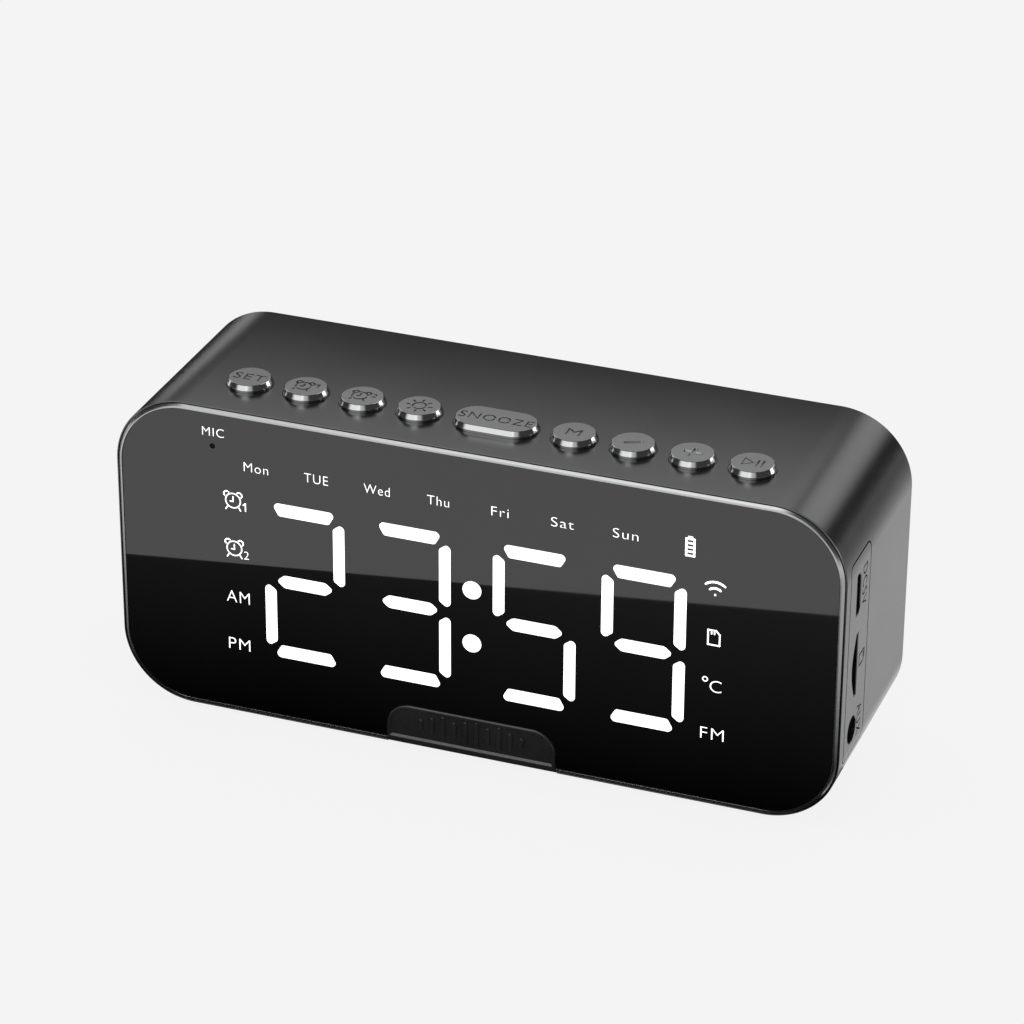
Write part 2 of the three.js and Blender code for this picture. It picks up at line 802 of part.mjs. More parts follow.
function strap() {
  const tabBack = tabFront + tabThickness;
  const neck = neckBack - seam - looseFit;
  const over = tabTop + wall;
  const side = new THREE.Shape();
  side.moveTo(tabFront, over);
  side.lineTo(tabFront, heelLow + heelRadius);
  side.absarc(tabFront + heelRadius, heelLow + heelRadius, heelRadius, Math.PI, 1.5 * Math.PI);
  side.lineTo(neck + soleSlope, heelLow);
  side.lineTo(neck + 2 * soleSlope, -footHeight);
  side.lineTo(strapBack, -footHeight);
  side.lineTo(strapBack, strapRecess - seam);
  side.lineTo(neck, strapRecess - seam);
  side.lineTo(neck, neckTop);
  side.lineTo(tabBack, neckTop);
  side.lineTo(tabBack, over);
  side.closePath();
  const tab = frontPrism(tabOutline(0), tabFront - wall, tabBack);
  const sole = box([-strapHalf, strapHalf], [tabBack, caseDepth], [-wall, 2 * wall]);
  const panel = frontPrism(tabOutline(-tabRim, tabPanelLow), tabFront - wall, tabFront + tabPanelDepth);
  return sidePrism(side, -strapHalf, strapHalf).intersect(tab.add(sole)).subtract(panel);
}

function footPad() {
  return topPrism(pill(footLength, footWidth), -footHeight, -seam);
}

// ---------------------------------------------------------------- rear cover

function rearCover() {
  const skirtInset = wall + seam;
  const plate = frontPrism(caseOutline(skirtInset), coverFront, coverBack);
  const skirtOuter = frontPrism(caseOutline(skirtInset), coverFront - coverSkirt, coverFront);
  const skirtInner = frontPrism(caseOutline(skirtInset + coverSkirtThickness), 0, coverFront);
  let cover = skirtOuter.subtract(skirtInner);
  for (const [x, z] of postCentres) {
    cover = cover.subtract(pinY(postRadius + looseFit, x, z, coverFront - 2 * coverSkirt, coverBack));
  }
  cover = cover.add(plate);
  const [length, height] = [screenLength + 2 * seam, screenHeight + 2 * seam];
  const pocket = roundedRect(length, height, screenCorner, 0, caseMiddleZ);
  cover = cover.subtract(frontPrism(pocket, coverFront - wall, coverFront + screenThickness + seam));
  const past = coverBack + wall;
  for (let i = 0; i < slotCount; i += 1) {
    const x = (i - (slotCount - 1) / 2) * slotPitch;
    const slot = uprightPill(slotHeight, slotWidth, x, caseMiddleZ);
    cover = cover.subtract(frontPrism(slot, coverFront, past, 2));
  }
  const headSeat = coverBack - screwHeadHeight - seam;
  for (const [x, z] of postCentres) {
    cover = cover.subtract(pinY(screwRadius + 2 * seam, x, z, coverFront - wall, past));
    cover = cover.subtract(pinY(screwHeadRadius + 2 * seam, x, z, headSeat, past, 14));
  }
  return cover;
}

function screen() {
  const outline = roundedRect(screenLength, screenHeight, screenCorner, 0, caseMiddleZ);
  const front = coverFront + seam / 2;
  return frontPrism(outline, front, front + screenThickness);
}

// Screw with its head's outer face just inside y = 0.
function coverScrew() {
  const tip = looseFit - (coverBack - postBack) - screwBite;
  const crown = -seam / 2;
  return turned([
    [0, tip], [screwRadius, tip + screwRadius], [screwRadius, -screwHeadHeight],
    [screwHeadRadius, -screwHeadHeight], [screwHeadRadius, screwHeadSide - screwHeadHeight],
    [screwHeadRadius - screwHeadRound, crown], [0, crown],
  ], 12);
}

// ---------------------------------------------------------------- speaker, facing back

// Heights below are measured from the gasket's rear face and run back, so they are negative.
const poleRadius = coilRadius - coilHalfThickness - looseFit;
const plateBore = coilRadius + coilHalfThickness + looseFit;
const flangeRear = -gasketThickness - 4 * seam - looseFit;
const flangeFace = flangeRear - speakerFlangeThickness;
const basketFloor = flangeRear - basketDepth;
const topPlateRear = basketFloor - seam;
const magnetRear = topPlateRear - topPlateThickness - seam;
const yokeRear = magnetRear - magnetThickness - seam;
const coilFront = magnetRear - coilBite;
const coilRear = basketFloor + coilRise;
const lipRear = flangeRear - lipDrop;

function basket() {
  const seat = speakerRadius - basketSeat;
  const floorRear = basketFloor + basketSkin;
  const bore = plateBore + spiderRise;
  return turned([
    [speakerRadius, flangeRear], [seat, flangeRear], [seat, flangeFace], [basketFloorRadius, floorRear],
    [bore, floorRear], [bore, basketFloor], [basketFloorRadius + coneSkin, basketFloor],
    [seat + speakerFlangeThickness, flangeFace], [speakerRadius, flangeFace],
  ]);
}

function cone() {
  const neck = coilRadius + coneNeck;
  const neckRear = coilRear + coneRise;
  const neckFront = neckRear - coneSkin / 2;
  const edge = speakerRadius - coneEdge;
  const fold = edge - basketSkin;
  const dome = neckRear + domeRise + coneSkin;
  return turned([
    [0, dome + domeRise], [neck * coneNeck, dome + coneSkin / 2], [neck, neckRear + coneSkin],
    [fold, lipRear], [edge, lipRear], [edge, lipRear - coneSkin], [fold, lipRear - coneSkin],
    [neck, neckFront], [coilRadius - coilHalfThickness, neckFront], [0, dome],
  ]);
}

function voiceCoil() {
  return ring(coilRadius - coilHalfThickness, coilRadius + coilHalfThickness, coilFront, coilRear);
}

// A rubber roll between the cone's edge and the basket's rim, with a running gap to the cone.
function surround() {
  const lip = lipRear + coneTravel + 2 * seam;
  const crown = lip + surroundRoll;
  const edge = speakerRadius - coneEdge;
  const start = edge - 3 * surroundRoll;
  const [rise, fall, end] = [edge + surroundRoll, edge + 3 * surroundRoll, edge + 4 * surroundRoll];
  const foot = flangeRear + seam;
  const rim = speakerRadius - coneSkin;
  const skin = surroundSkin;
  return turned([
    [start, lip], [edge, lip], [rise, crown], [fall, crown], [end, foot], [rim, foot],
    [rim, foot + skin], [end - seam, foot + skin], [fall - seam, crown + skin],
    [rise + seam, crown + skin], [edge - seam, lip + skin], [start, lip + skin],
  ]);
}

function spider() {
  const [inner, outer] = [coilRadius + coilHalfThickness + looseFit, basketFloorRadius];
  const low = basketFloor + spiderRise;
  const pitch = (outer - inner) / (2 * spiderWaves);
  const line = [];
  for (let i = 0; i <= 2 * spiderWaves; i += 1) line.push([inner + i * pitch, low + (i % 2) * spiderWave]);
  const back = line.map(([radius, y]) => [radius, y + surroundSkin]).reverse();
  return turned([...line, ...back]);
}

function yoke() {
  const radius = magnetRadius - yokeStep;
  const front = yokeRear - yokeThickness;
  return turned([
    [0, front], [radius, front], [radius, yokeRear], [poleRadius, yokeRear],
    [poleRadius, topPlateRear], [0, topPlateRear],
  ]);
}

function ring(inner, outer, front, rear) {
  return turned([[inner, front], [outer, front], [outer, rear], [inner, rear]]);
}

const speakerPlace = [0, coverFront - seam, caseMiddleZ];

// Two twisted wires shown as one lead, from the main board to the speaker's terminal.
function speakerLead() {
  const terminal = basketFloorRadius + speakerFlangeThickness;
  const back = speakerPlace[1] + basketFloor + 2 * speakerFlangeThickness;
  const route = new THREE.CatmullRomCurve3([
    [leadX, boardBack + looseFit, leadZ],
    [leadX, boardBack + 2 * leadSag, leadZ],
    [leadX - leadSag, boardBack + 5 * leadSag, leadZ],
    [leadX - 4 * leadSag, back - leadSag, caseMiddleZ - terminal],
    [terminal + leadSag, back, caseMiddleZ - terminal / 2],
  ].map((point) => new THREE.Vector3(...point)));
  const section = new THREE.Shape();
  section.absarc(0, 0, leadRadius, 0, 2 * Math.PI);
  const options = { steps: 14, curveSegments: 4, extrudePath: route, bevelEnabled: false };
  return solid(new THREE.ExtrudeGeometry(section, options));
}

// ---------------------------------------------------------------- assembly

add('case_sleeve', sleeve(), 'sleeve');
add('front_bezel', bezel(), 'bezel');
add('mirror_lens', lens(), 'lens');
add('display_diffuser', diffuser(), 'whitePlastic');
add('segment_housing', housing(), 'whitePlastic');
add('microphone', pinY(micRadius, micX, micZ, diffuserFront, diffuserFront + micThickness), 'foil');
add('main_board', mainBoard(), 'board');
add('button_board', buttonBoard(), 'board');
add('inner_chassis', chassis(), 'greyPlastic');
bossCentres.forEach(([x, z], i) => add(`board_screw_${i + 1}`, boardScrew(), 'steel', [x, boardBack, z]));

add('port_plate', portPlate(), 'blackPlastic');
add('usb_socket', usbSocket(), 'steel');
add('card_socket', cardSocket(), 'steel');
add('audio_jack', audioJack(), 'blackPlastic');

add('base_strap', strap(), 'rubber');
let feet = 0;
for (const x of [-footX, footX]) {
  for (const y of [footMargin, caseDepth - footMargin]) {
    feet += 1;
    add(`foot_pad_${feet}`, footPad(), 'rubber', [x, y, 0]);
  }
}

add('rear_cover', rearCover(), 'blackPlastic');
add('grille_screen', screen(), 'magnet');
postCentres.forEach(([x, z], i) => add(`cover_screw_${i + 1}`, coverScrew(), 'steel', [x, coverBack, z]));

const platesRadius = magnetRadius - yokeStep;
const gasket = ring(speakerRadius - gasketWidth, speakerRadius, -gasketThickness, 0);
const topPlate = ring(plateBore, platesRadius, topPlateRear - topPlateThickness, topPlateRear);
const magnet = ring(plateBore + magnetBoreGap, magnetRadius, magnetRear - magnetThickness, magnetRear);
add('speaker_gasket', gasket, 'foam', speakerPlace);
add('speaker_basket', basket(), 'blackPlastic', speakerPlace);
add('speaker_top_plate', topPlate, 'steel', speakerPlace);
add('speaker_magnet', magnet, 'magnet', speakerPlace);
add('speaker_yoke', yoke(), 'steel', speakerPlace);
add('voice_coil', voiceCoil(), 'copper', speakerPlace);
add('speaker_cone', cone(), 'paper', speakerPlace);
add('speaker_surround', surround(), 'rubber', speakerPlace);
add('speaker_spider', spider(), 'foam', speakerPlace);
add('speaker_lead', speakerLead(), 'cable');

const padFront = boardBack + seam;
const cellFront = padFront + padThickness + seam;
const cellOutline = roundedRect(cellLength, cellHeight, cellCorner, cellX, cellZ);
const pad = box(
  [cellX - cellLength / 3, cellX + cellLength / 3],
  [padFront, padFront + padThickness],
  [cellZ - cellHeight / 3, cellZ + cellHeight / 3],
);
add('battery_pad', pad, 'foam');
add('battery_cell', frontPrism(cellOutline, cellFront, cellFront + cellThickness, 2), 'foil');

const origin = new THREE.Group();
origin.add(clock);

export default origin;
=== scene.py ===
"""Bedside alarm clock with a mirror front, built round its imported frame.

The pieces' lengths are in millimetres until a mesh is placed. x runs to the right as seen from the
front, y runs back from the sleeve's front end, and z runs up from the sleeve's underside. The sizes
that a user can change, the cards, the floor and the camera are in metres.
"""

import json
import math
from types import SimpleNamespace

import bmesh
import bpy
from mathutils import Matrix, Vector


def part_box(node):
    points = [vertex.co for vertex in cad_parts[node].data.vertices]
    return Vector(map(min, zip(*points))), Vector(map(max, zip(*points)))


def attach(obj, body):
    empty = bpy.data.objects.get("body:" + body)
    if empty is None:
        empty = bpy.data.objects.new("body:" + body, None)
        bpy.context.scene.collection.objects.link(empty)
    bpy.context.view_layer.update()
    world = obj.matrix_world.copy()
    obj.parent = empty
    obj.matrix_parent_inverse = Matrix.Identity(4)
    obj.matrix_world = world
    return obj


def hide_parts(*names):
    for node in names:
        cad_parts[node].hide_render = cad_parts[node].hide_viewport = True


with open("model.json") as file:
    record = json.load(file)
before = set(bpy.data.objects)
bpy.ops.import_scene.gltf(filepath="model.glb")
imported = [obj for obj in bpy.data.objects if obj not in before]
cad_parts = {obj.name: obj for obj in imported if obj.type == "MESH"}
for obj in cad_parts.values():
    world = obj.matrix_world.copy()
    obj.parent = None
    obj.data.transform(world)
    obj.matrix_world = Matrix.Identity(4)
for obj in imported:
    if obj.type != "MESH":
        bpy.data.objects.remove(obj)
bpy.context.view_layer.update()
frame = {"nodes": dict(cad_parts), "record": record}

bl_info = {
    "name": "Mirror alarm clock",
    "version": (1, 0, 0),
    "blender": (4, 5, 0),
    "location": "View3D > Sidebar > Clock",
    "description": "Builds a bedside alarm clock with a lit display, keys and a rear speaker",
    "category": "Object",
}

MM = 0.001
BODY = "case"


# ---------------------------------------------------------------- places from the frame

def node_box(node):
    """A node's box in the clock's own millimetres."""
    low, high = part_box(node)
    return (low - ORIGIN) / MM, (high - ORIGIN) / MM


SLEEVE_LOW, SLEEVE_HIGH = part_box("case_sleeve")
ORIGIN = Vector((0.0, SLEEVE_LOW.y, SLEEVE_LOW.z))
PLACE = Matrix.Translation(ORIGIN) @ Matrix.Scale(MM, 4)
LENGTH = (SLEEVE_HIGH.x - SLEEVE_LOW.x) / MM
DEPTH = (SLEEVE_HIGH.y - SLEEVE_LOW.y) / MM
HEIGHT = (SLEEVE_HIGH.z - SLEEVE_LOW.z) / MM
HALF = LENGTH / 2
MIDDLE_Z = HEIGHT / 2
LENS_LOW, LENS_HIGH = node_box("mirror_lens")
BEZEL_LOW, BEZEL_HIGH = node_box("front_bezel")
STRAP_LOW, STRAP_HIGH = node_box("base_strap")
COVER_LOW, COVER_HIGH = node_box("rear_cover")

KEYS = ("set", "alarm_1", "alarm_2", "light", "snooze", "mode", "minus", "plus", "play")
KEY_RADIUS = 4.3
SNOOZE_LENGTH = 16.1
KEY_CLEARANCE = 0.06
MIC_X, MIC_Z = -50.4, 55.26
MIC_HOLE = 1.1
TAB_HALF = STRAP_HIGH.x
TAB_TOP = STRAP_HIGH.z
TAB_RADIUS = 4.5
TAB_ROOT = -4.0  # where the tab's outline stops, well under the sleeve
TAB_SEAM = 0.4  # the tab's share of the seam
PLATE_Y, PLATE_WIDTH = 8.7, 12.0
PLATE_Z, PLATE_HEIGHT = 31.55, 39.7
PLATE_CORNER = 1.3
MARKS_Y, MARKS_HALF = 11.7, 2.0  # the strip of the port plate that holds the marks


# ---------------------------------------------------------------- what a user can change

class ClockSizes(bpy.types.PropertyGroup):
    """Sizes of the clock's finish"""

    corner: bpy.props.FloatProperty(
        name="Corner radius", description="Radius of the sleeve's four long corners",
        default=0.014, min=0.004, max=0.03, precision=5, unit="LENGTH")
    wall: bpy.props.FloatProperty(
        name="Wall", description="Thickness of the sleeve's wall",
        default=0.002, min=0.001, max=0.004, precision=5, unit="LENGTH")
    edge: bpy.props.FloatProperty(
        name="Edge round", description="Rounding of the sleeve's front and rear edges",
        default=0.00012, min=0.00002, max=0.0003, precision=5, unit="LENGTH")
    gap: bpy.props.FloatProperty(
        name="Seam", description="Open seam round the port plate; the tab's is a share of it",
        default=0.00032, min=0.00005, max=0.0005, precision=5, unit="LENGTH")
    key_cut: bpy.props.FloatProperty(
        name="Key cut", description="Width of the bright cut round each key's face",
        default=0.00045, min=0.0001, max=0.0008, precision=5, unit="LENGTH")
    mark_depth: bpy.props.FloatProperty(
        name="Mark depth", description="Depth of the marks in the keys and the port plate",
        default=0.0003, min=0.00005, max=0.0004, precision=5, unit="LENGTH")


class ClockColours(bpy.types.PropertyGroup):
    """Colours of the clock"""

    sleeve: bpy.props.FloatVectorProperty(
        name="Sleeve", description="Anodised sleeve and port plate", subtype="COLOR",
        default=(0.17, 0.171, 0.174), min=0.0, max=1.0)
    bezel: bpy.props.FloatVectorProperty(
        name="Bezel", description="Cut rim round the lens", subtype="COLOR",
        default=(0.5, 0.505, 0.51), min=0.0, max=1.0)
    key: bpy.props.FloatVectorProperty(
        name="Keys", description="Faces of the keys", subtype="COLOR",
        default=(0.40, 0.402, 0.406), min=0.0, max=1.0)
    digits: bpy.props.FloatVectorProperty(
        name="Digits", description="Light of the display", subtype="COLOR",
        default=(1.0, 1.0, 1.0), min=0.0, max=1.0)
    rubber: bpy.props.FloatVectorProperty(
        name="Rubber", description="Strap, tab and feet", subtype="COLOR",
        default=(0.017, 0.017, 0.018), min=0.0, max=1.0)


def sizes():
    """The sizes that a user can change, in millimetres."""
    group = bpy.context.scene.clock_sizes
    names = ClockSizes.__annotations__
    return SimpleNamespace(**{name: round(getattr(group, name) / MM, 4) for name in names})


def colours():
    return bpy.context.scene.clock_colours


# ---------------------------------------------------------------- outlines
# An outline is a function of an inset that returns (u, v) points, in order round it.

def arc(cx, cy, radius, start, end, steps):
    """Points on a round stretch, both ends included."""
    turn = (end - start) / steps
    return [
        (cx + radius * math.cos(start + i * turn), cy + radius * math.sin(start + i * turn))
        for i in range(steps + 1)
    ]


def rounded_rect(width, height, radius, cx=0.0, cy=0.0, steps=8):
    def outline(inset=0.0):
        r = max(radius - inset, 0.02)
        right, top = cx + width / 2 - inset - r, cy + height / 2 - inset - r
        left, low = cx - width / 2 + inset + r, cy - height / 2 + inset + r
        quarter = math.pi / 2
        return (
            arc(right, top, r, 0, quarter, steps)
            + arc(left, top, r, quarter, 2 * quarter, steps)
            + arc(left, low, r, 2 * quarter, 3 * quarter, steps)
            + arc(right, low, r, 3 * quarter, 4 * quarter, steps)
        )
    return outline


def pill(length, width, cx=0.0, cy=0.0, steps=24, upright=False):
    """A bar with round ends; with no length to spare it is a full circle."""
    def outline(inset=0.0):
        r = width / 2 - inset
        reach = (length - width) / 2
        ahead = arc(reach, 0, r, -math.pi / 2, math.pi / 2, steps)
        behind = arc(-reach, 0, r, math.pi / 2, 1.5 * math.pi, steps)
        if reach < 1e-6:
            ahead, behind = ahead[:-1], behind[:-1]
        points = ahead + behind
        if upright:
            points = [(-v, u) for u, v in points]
        return [(cx + u, cy + v) for u, v in points]
    return outline


def case_outline(grow=0.0, steps=28):
    """The sleeve's outline as seen from the front, drawn in by an inset."""
    return rounded_rect(
        LENGTH + 2 * grow, HEIGHT + 2 * grow, sizes().corner + grow, 0.0, MIDDLE_Z, steps)


def tab_outline(half, top, low, radius, steps=14):
    """Square below and rounded above, about x = 0."""
    def outline(inset=0.0):
        h, t, r = half - inset, top - inset, max(radius - inset, 0.05)
        return (
            [(-h, low + inset), (h, low + inset)]
            + arc(h - r, t - r, r, 0, math.pi / 2, steps)
            + arc(-h + r, t - r, r, math.pi / 2, math.pi, steps)
        )
    return outline


# Ways to stand an outline up: (u, v, height) to a point.
def facing_front(u, v, h):
    return (u, h, v)


def facing_up(u, v, h):
    return (u, v, h)


def facing_right(u, v, h):
    return (h, u, v)


# ---------------------------------------------------------------- solids

def bridge(bm, rings, closed=False):
    """Quads between rings of equal length; closed joins the last ring to the first."""
    loops = [[bm.verts.new(p) for p in ring] for ring in rings]
    pairs = list(zip(loops, loops[1:]))
    if closed:
        pairs.append((loops[-1], loops[0]))
    for a, b in pairs:
        for i in range(len(a)):
            j = (i + 1) % len(a)
            bm.faces.new((a[i], a[j], b[j], b[i]))
    return loops


def stack(outline, levels, stand, bm=None):
    """A closed solid from one outline drawn at (inset, height) levels."""
    bm = bm or bmesh.new()
    rings = [[stand(u, v, h) for u, v in outline(inset)] for inset, h in levels]
    loops = bridge(bm, rings)
    bm.faces.new(list(reversed(loops[0])))
    bm.faces.new(loops[-1])
    return bm


def hoop(outline, profile, stand):
    """A closed ring from one outline drawn along a closed (inset, height) profile."""
    bm = bmesh.new()
    bridge(bm, [[stand(u, v, h) for u, v in outline(inset)] for inset, h in profile], closed=True)
    return bm


def block(bm, low, high):
    """A box between two corners."""
    made = bmesh.ops.create_cube(bm, size=1.0)["verts"]
    for v in made:
        v.co = [low[i] + (v.co[i] + 0.5) * (high[i] - low[i]) for i in range(3)]
    return bm


def box_solid(low, high):
    return block(bmesh.new(), low, high)


def merged(*solids):
    """Several solids in one mesh, still separate bodies."""
    out = bmesh.new()
    for solid in solids:
        bmesh.ops.recalc_face_normals(solid, faces=solid.faces)
        mesh = bpy.data.meshes.new("part")
        solid.to_mesh(mesh)
        solid.free()
        out.from_mesh(mesh)
        bpy.data.meshes.remove(mesh)
    return out


def scratch_object(bm):
    bmesh.ops.recalc_face_normals(bm, faces=bm.faces)
    mesh = bpy.data.meshes.new("scratch")
    bm.to_mesh(mesh)
    bm.free()
    obj = bpy.data.objects.new("scratch", mesh)
    bpy.context.scene.collection.objects.link(obj)
    return obj


def carve(base, cutter, operation="DIFFERENCE"):
    """The base solid with the cutter taken out of it, or kept where they meet."""
    target, tool = scratch_object(base), scratch_object(cutter)
    cut = target.modifiers.new("cut", "BOOLEAN")
    cut.operation = operation
    cut.solver = "EXACT"
    cut.use_self = True
    cut.object = tool
    bpy.context.view_layer.update()
    graph = bpy.context.evaluated_depsgraph_get()
    mesh = bpy.data.meshes.new_from_object(target.evaluated_get(graph))
    out = bmesh.new()
    out.from_mesh(mesh)
    bpy.data.meshes.remove(mesh)
    for obj in (target, tool):
        data = obj.data
        bpy.data.objects.remove(obj)
        bpy.data.meshes.remove(data)
    bmesh.ops.remove_doubles(out, verts=out.verts, dist=1e-4)
    bmesh.ops.dissolve_degenerate(out, edges=out.edges, dist=1e-4)
    return out


def moved(bm, x=0.0, y=0.0, z=0.0):
    bmesh.ops.translate(bm, verts=bm.verts, vec=(x, y, z))
    return bm


CAPITAL = 0.729  # the built-in font's capital height at size 1
LETTER_SPACE = 1.12
THIN = -0.016  # draws the letters' outlines in, for the lit labels


def lettering(words, height, depth, width=None, light=THIN):
    """Words as a flat solid in x and y, centred, with capitals of the given height.

    A width, where there is one, is that of all the words together."""
    curve = bpy.data.curves.new("words", "FONT")
    curve.body = words
    curve.size = 1.0
    curve.space_character = LETTER_SPACE
    curve.offset = light
    curve.resolution_u = 6
    curve.extrude = depth / 2 * CAPITAL / height
    obj = bpy.data.objects.new("words", curve)
    bpy.context.scene.collection.objects.link(obj)
    bpy.context.view_layer.update()
    graph = bpy.context.evaluated_depsgraph_get()
    mesh = bpy.data.meshes.new_from_object(obj.evaluated_get(graph))
    bm = bmesh.new()
    bm.from_mesh(mesh)
    bpy.data.objects.remove(obj)
    bpy.data.curves.remove(curve)
    bpy.data.meshes.remove(mesh)
    bmesh.ops.remove_doubles(bm, verts=bm.verts, dist=1e-5)
    bmesh.ops.scale(bm, verts=bm.verts, vec=(height / CAPITAL,) * 3)
    xs = [v.co.x for v in bm.verts]
    moved(bm, x=-(min(xs) + max(xs)) / 2, y=-height / 2)
    if width:
        bmesh.ops.scale(bm, verts=bm.verts, vec=(width / (max(xs) - min(xs)), 1, 1))
    return bm


def strokes(lines, width, depth, steps=6):
    """Round-ended strokes as flat solids in x and y, each line a list of points.

    A line that ends where it starts becomes one closed band."""
    bm = bmesh.new()
    half = width / 2
    section = ((-half, -depth / 2), (half, -depth / 2), (half, depth / 2), (-half, depth / 2))
    for line in lines:
        if len(line) > 2 and math.dist(line[0], line[-1]) < 1e-6:
            points = line[:-1]
            centre = Vector((sum(p[0] for p in points), sum(p[1] for p in points))) / len(points)
            ways = [(Vector(p) - centre).normalized() for p in points]
            bridge(bm, [
                [(p[0] + way.x * side, p[1] + way.y * side, level) for p, way in zip(points, ways)]
                for side, level in section
            ], closed=True)
            continue
        for a, b in zip(line, line[1:]):
            heading = math.atan2(b[1] - a[1], b[0] - a[0])
            edge = arc(b[0], b[1], half, heading - math.pi / 2, heading + math.pi / 2, steps)
            edge += arc(a[0], a[1], half, heading + math.pi / 2, heading + 1.5 * math.pi, steps)
            stack(lambda inset, edge=edge: edge, ((0, -depth / 2), (0, depth / 2)), facing_up, bm)
    return bm


def circle(cx, cy, radius, steps=28):
    return arc(cx, cy, radius, 0, 2 * math.pi, steps)


# ---------------------------------------------------------------- signs, drawn about (0, 0)

def alarm_sign(size):
    """A ringing clock: a round body, two bells, two feet and two hands."""
    r = 0.36 * size
    lines = [circle(0, 0, r)]
    for side in (-1, 1):
        start = math.radians(45 if side < 0 else -45)
        lines.append(arc(side * 0.3 * size, 0.3 * size, 0.14 * size, start, start + math.pi, 5))
        lines.append([(side * 0.26 * size, -0.3 * size), (side * 0.36 * size, -0.46 * size)])
    lines.append([(0, 0.2 * size), (0, -0.04 * size), (-0.14 * size, -0.04 * size)])
    return lines


def sun_sign(size):
    lines = [circle(0, 0, 0.27 * size)]
    for i in range(8):
        turn = i * math.pi / 4
        lines.append([
            (math.cos(turn) * 0.4 * size, math.sin(turn) * 0.4 * size),
            (math.cos(turn) * 0.52 * size, math.sin(turn) * 0.52 * size),
        ])
    return lines


def play_sign(size):
    """A play arrow beside two pause bars."""
    s = size / 2
    return [
        [(-0.75 * s, -0.55 * s), (-0.75 * s, 0.55 * s), (0.05 * s, 0.0), (-0.75 * s, -0.55 * s)],
        [(0.4 * s, -0.5 * s), (0.4 * s, 0.5 * s)],
        [(0.8 * s, -0.5 * s), (0.8 * s, 0.5 * s)],
    ]


def card_sign(size):
    """A memory card with a cut corner and two contacts."""
    w, h = 0.34 * size, 0.46 * size
    outline = [(-w, -h), (w, -h), (w, 0.5 * h), (0.4 * w, h), (-w, h), (-w, -h)]
    sides = [[outline[i], outline[i + 1]] for i in range(len(outline) - 1)]
    return sides + [[(-0.4 * w, 0.5 * h), (-0.4 * w, 0.75 * h)], [(0.1 * w, 0.5 * h), (0.1 * w, 0.75 * h)]]


def waves_sign(size):
    """Two arcs and a dot: a wireless link."""
    lines = [arc(0, -0.35 * size, r * size, math.radians(50), math.radians(130), 8) for r in (0.4, 0.72)]
    lines.append([(0, -0.3 * size), (0, -0.28 * size)])
    return lines


# ---------------------------------------------------------------- materials

class Finish:
    """Short hand for a material's nodes."""

    def __init__(self, name):
        self.material = bpy.data.materials.new(name)
        self.material.use_nodes = True
        self.nodes = self.material.node_tree.nodes
        self.links = self.material.node_tree.links
        self.shader = self.nodes["Principled BSDF"]
        self.coordinates = self.nodes.new("ShaderNodeTexCoord").outputs["Object"]

    def set(self, **values):
        for name, value in values.items():
            self.shader.inputs[name.replace("_", " ")].default_value = value
        return self

    def noise(self, scale, detail=2.0, rough=0.5, stretch=(1, 1, 1)):
        mapping = self.nodes.new("ShaderNodeMapping")
        mapping.inputs["Scale"].default_value = stretch
        texture = self.nodes.new("ShaderNodeTexNoise")
        texture.inputs["Scale"].default_value = scale
        texture.inputs["Detail"].default_value = detail
        texture.inputs["Roughness"].default_value = rough
        self.links.new(self.coordinates, mapping.inputs["Vector"])
        self.links.new(mapping.outputs["Vector"], texture.inputs["Vector"])
        return texture.outputs["Fac"]

    def cells(self, scale):
        texture = self.nodes.new("ShaderNodeTexVoronoi")
        texture.inputs["Scale"].default_value = scale
        self.links.new(self.coordinates, texture.inputs["Vector"])
        return texture.outputs["Distance"]

    def span(self, value, low, high, at_low=0.3, at_high=0.7):
        """value turned into a number between low and high."""
        node = self.nodes.new("ShaderNodeMapRange")
        for name, number in (("From Min", at_low), ("From Max", at_high), ("To Min", low), ("To Max", high)):
            node.inputs[name].default_value = number
        self.links.new(value, node.inputs["Value"])
        return node.outputs["Result"]

    def shades(self, value, dark, light, at_dark=0.3, at_light=0.7):
        ramp = self.nodes.new("ShaderNodeValToRGB")
        first, last = ramp.color_ramp.elements
        first.position, last.position = at_dark, at_light
        first.color, last.color = (*dark, 1.0), (*light, 1.0)
        self.links.new(value, ramp.inputs["Fac"])
        return ramp.outputs["Color"]

    def feed(self, socket, value):
        self.links.new(value, self.shader.inputs[socket])
        return self

    def bump(self, height, depth, strength=1.0, after=None):
        node = self.nodes.new("ShaderNodeBump")
        node.inputs["Distance"].default_value = depth
        node.inputs["Strength"].default_value = strength
        self.links.new(height, node.inputs["Height"])
        if after is not None:
            self.links.new(after, node.inputs["Normal"])
        self.links.new(node.outputs["Normal"], self.shader.inputs["Normal"])
        return node.outputs["Normal"]


def scaled(colour, factor):
    return tuple(min(1.0, c * factor) for c in colour)


def blasted_metal(name, colour, roughness, spread, grain=0.00002, metallic=1.0):
    """Anodised aluminium with a fine blasted grain and faint cloudiness."""
    f = Finish(name).set(Metallic=metallic)
    cloud = f.noise(60, 3)
    f.feed("Base Color", f.shades(cloud, scaled(colour, 0.94), scaled(colour, 1.06)))
    f.feed("Roughness", f.span(f.noise(2600, 2), roughness - spread, roughness + spread))
    fine = f.bump(f.noise(16000, 2, 0.6), grain, 0.3)
    f.bump(f.cells(9000), grain, 0.12, after=fine)
    return f.material


def cut_metal(name, colour, roughness, stretch):
    """Bright machined metal with fine lines along one direction."""
    f = Finish(name).set(Metallic=1.0)
    lines = f.noise(9000, 2, 0.5, stretch)
    f.feed("Base Color", f.shades(lines, scaled(colour, 0.96), scaled(colour, 1.04)))
    f.feed("Roughness", f.span(lines, roughness - 0.03, roughness + 0.03))
    f.bump(lines, 0.000002, 0.2)
    return f.material


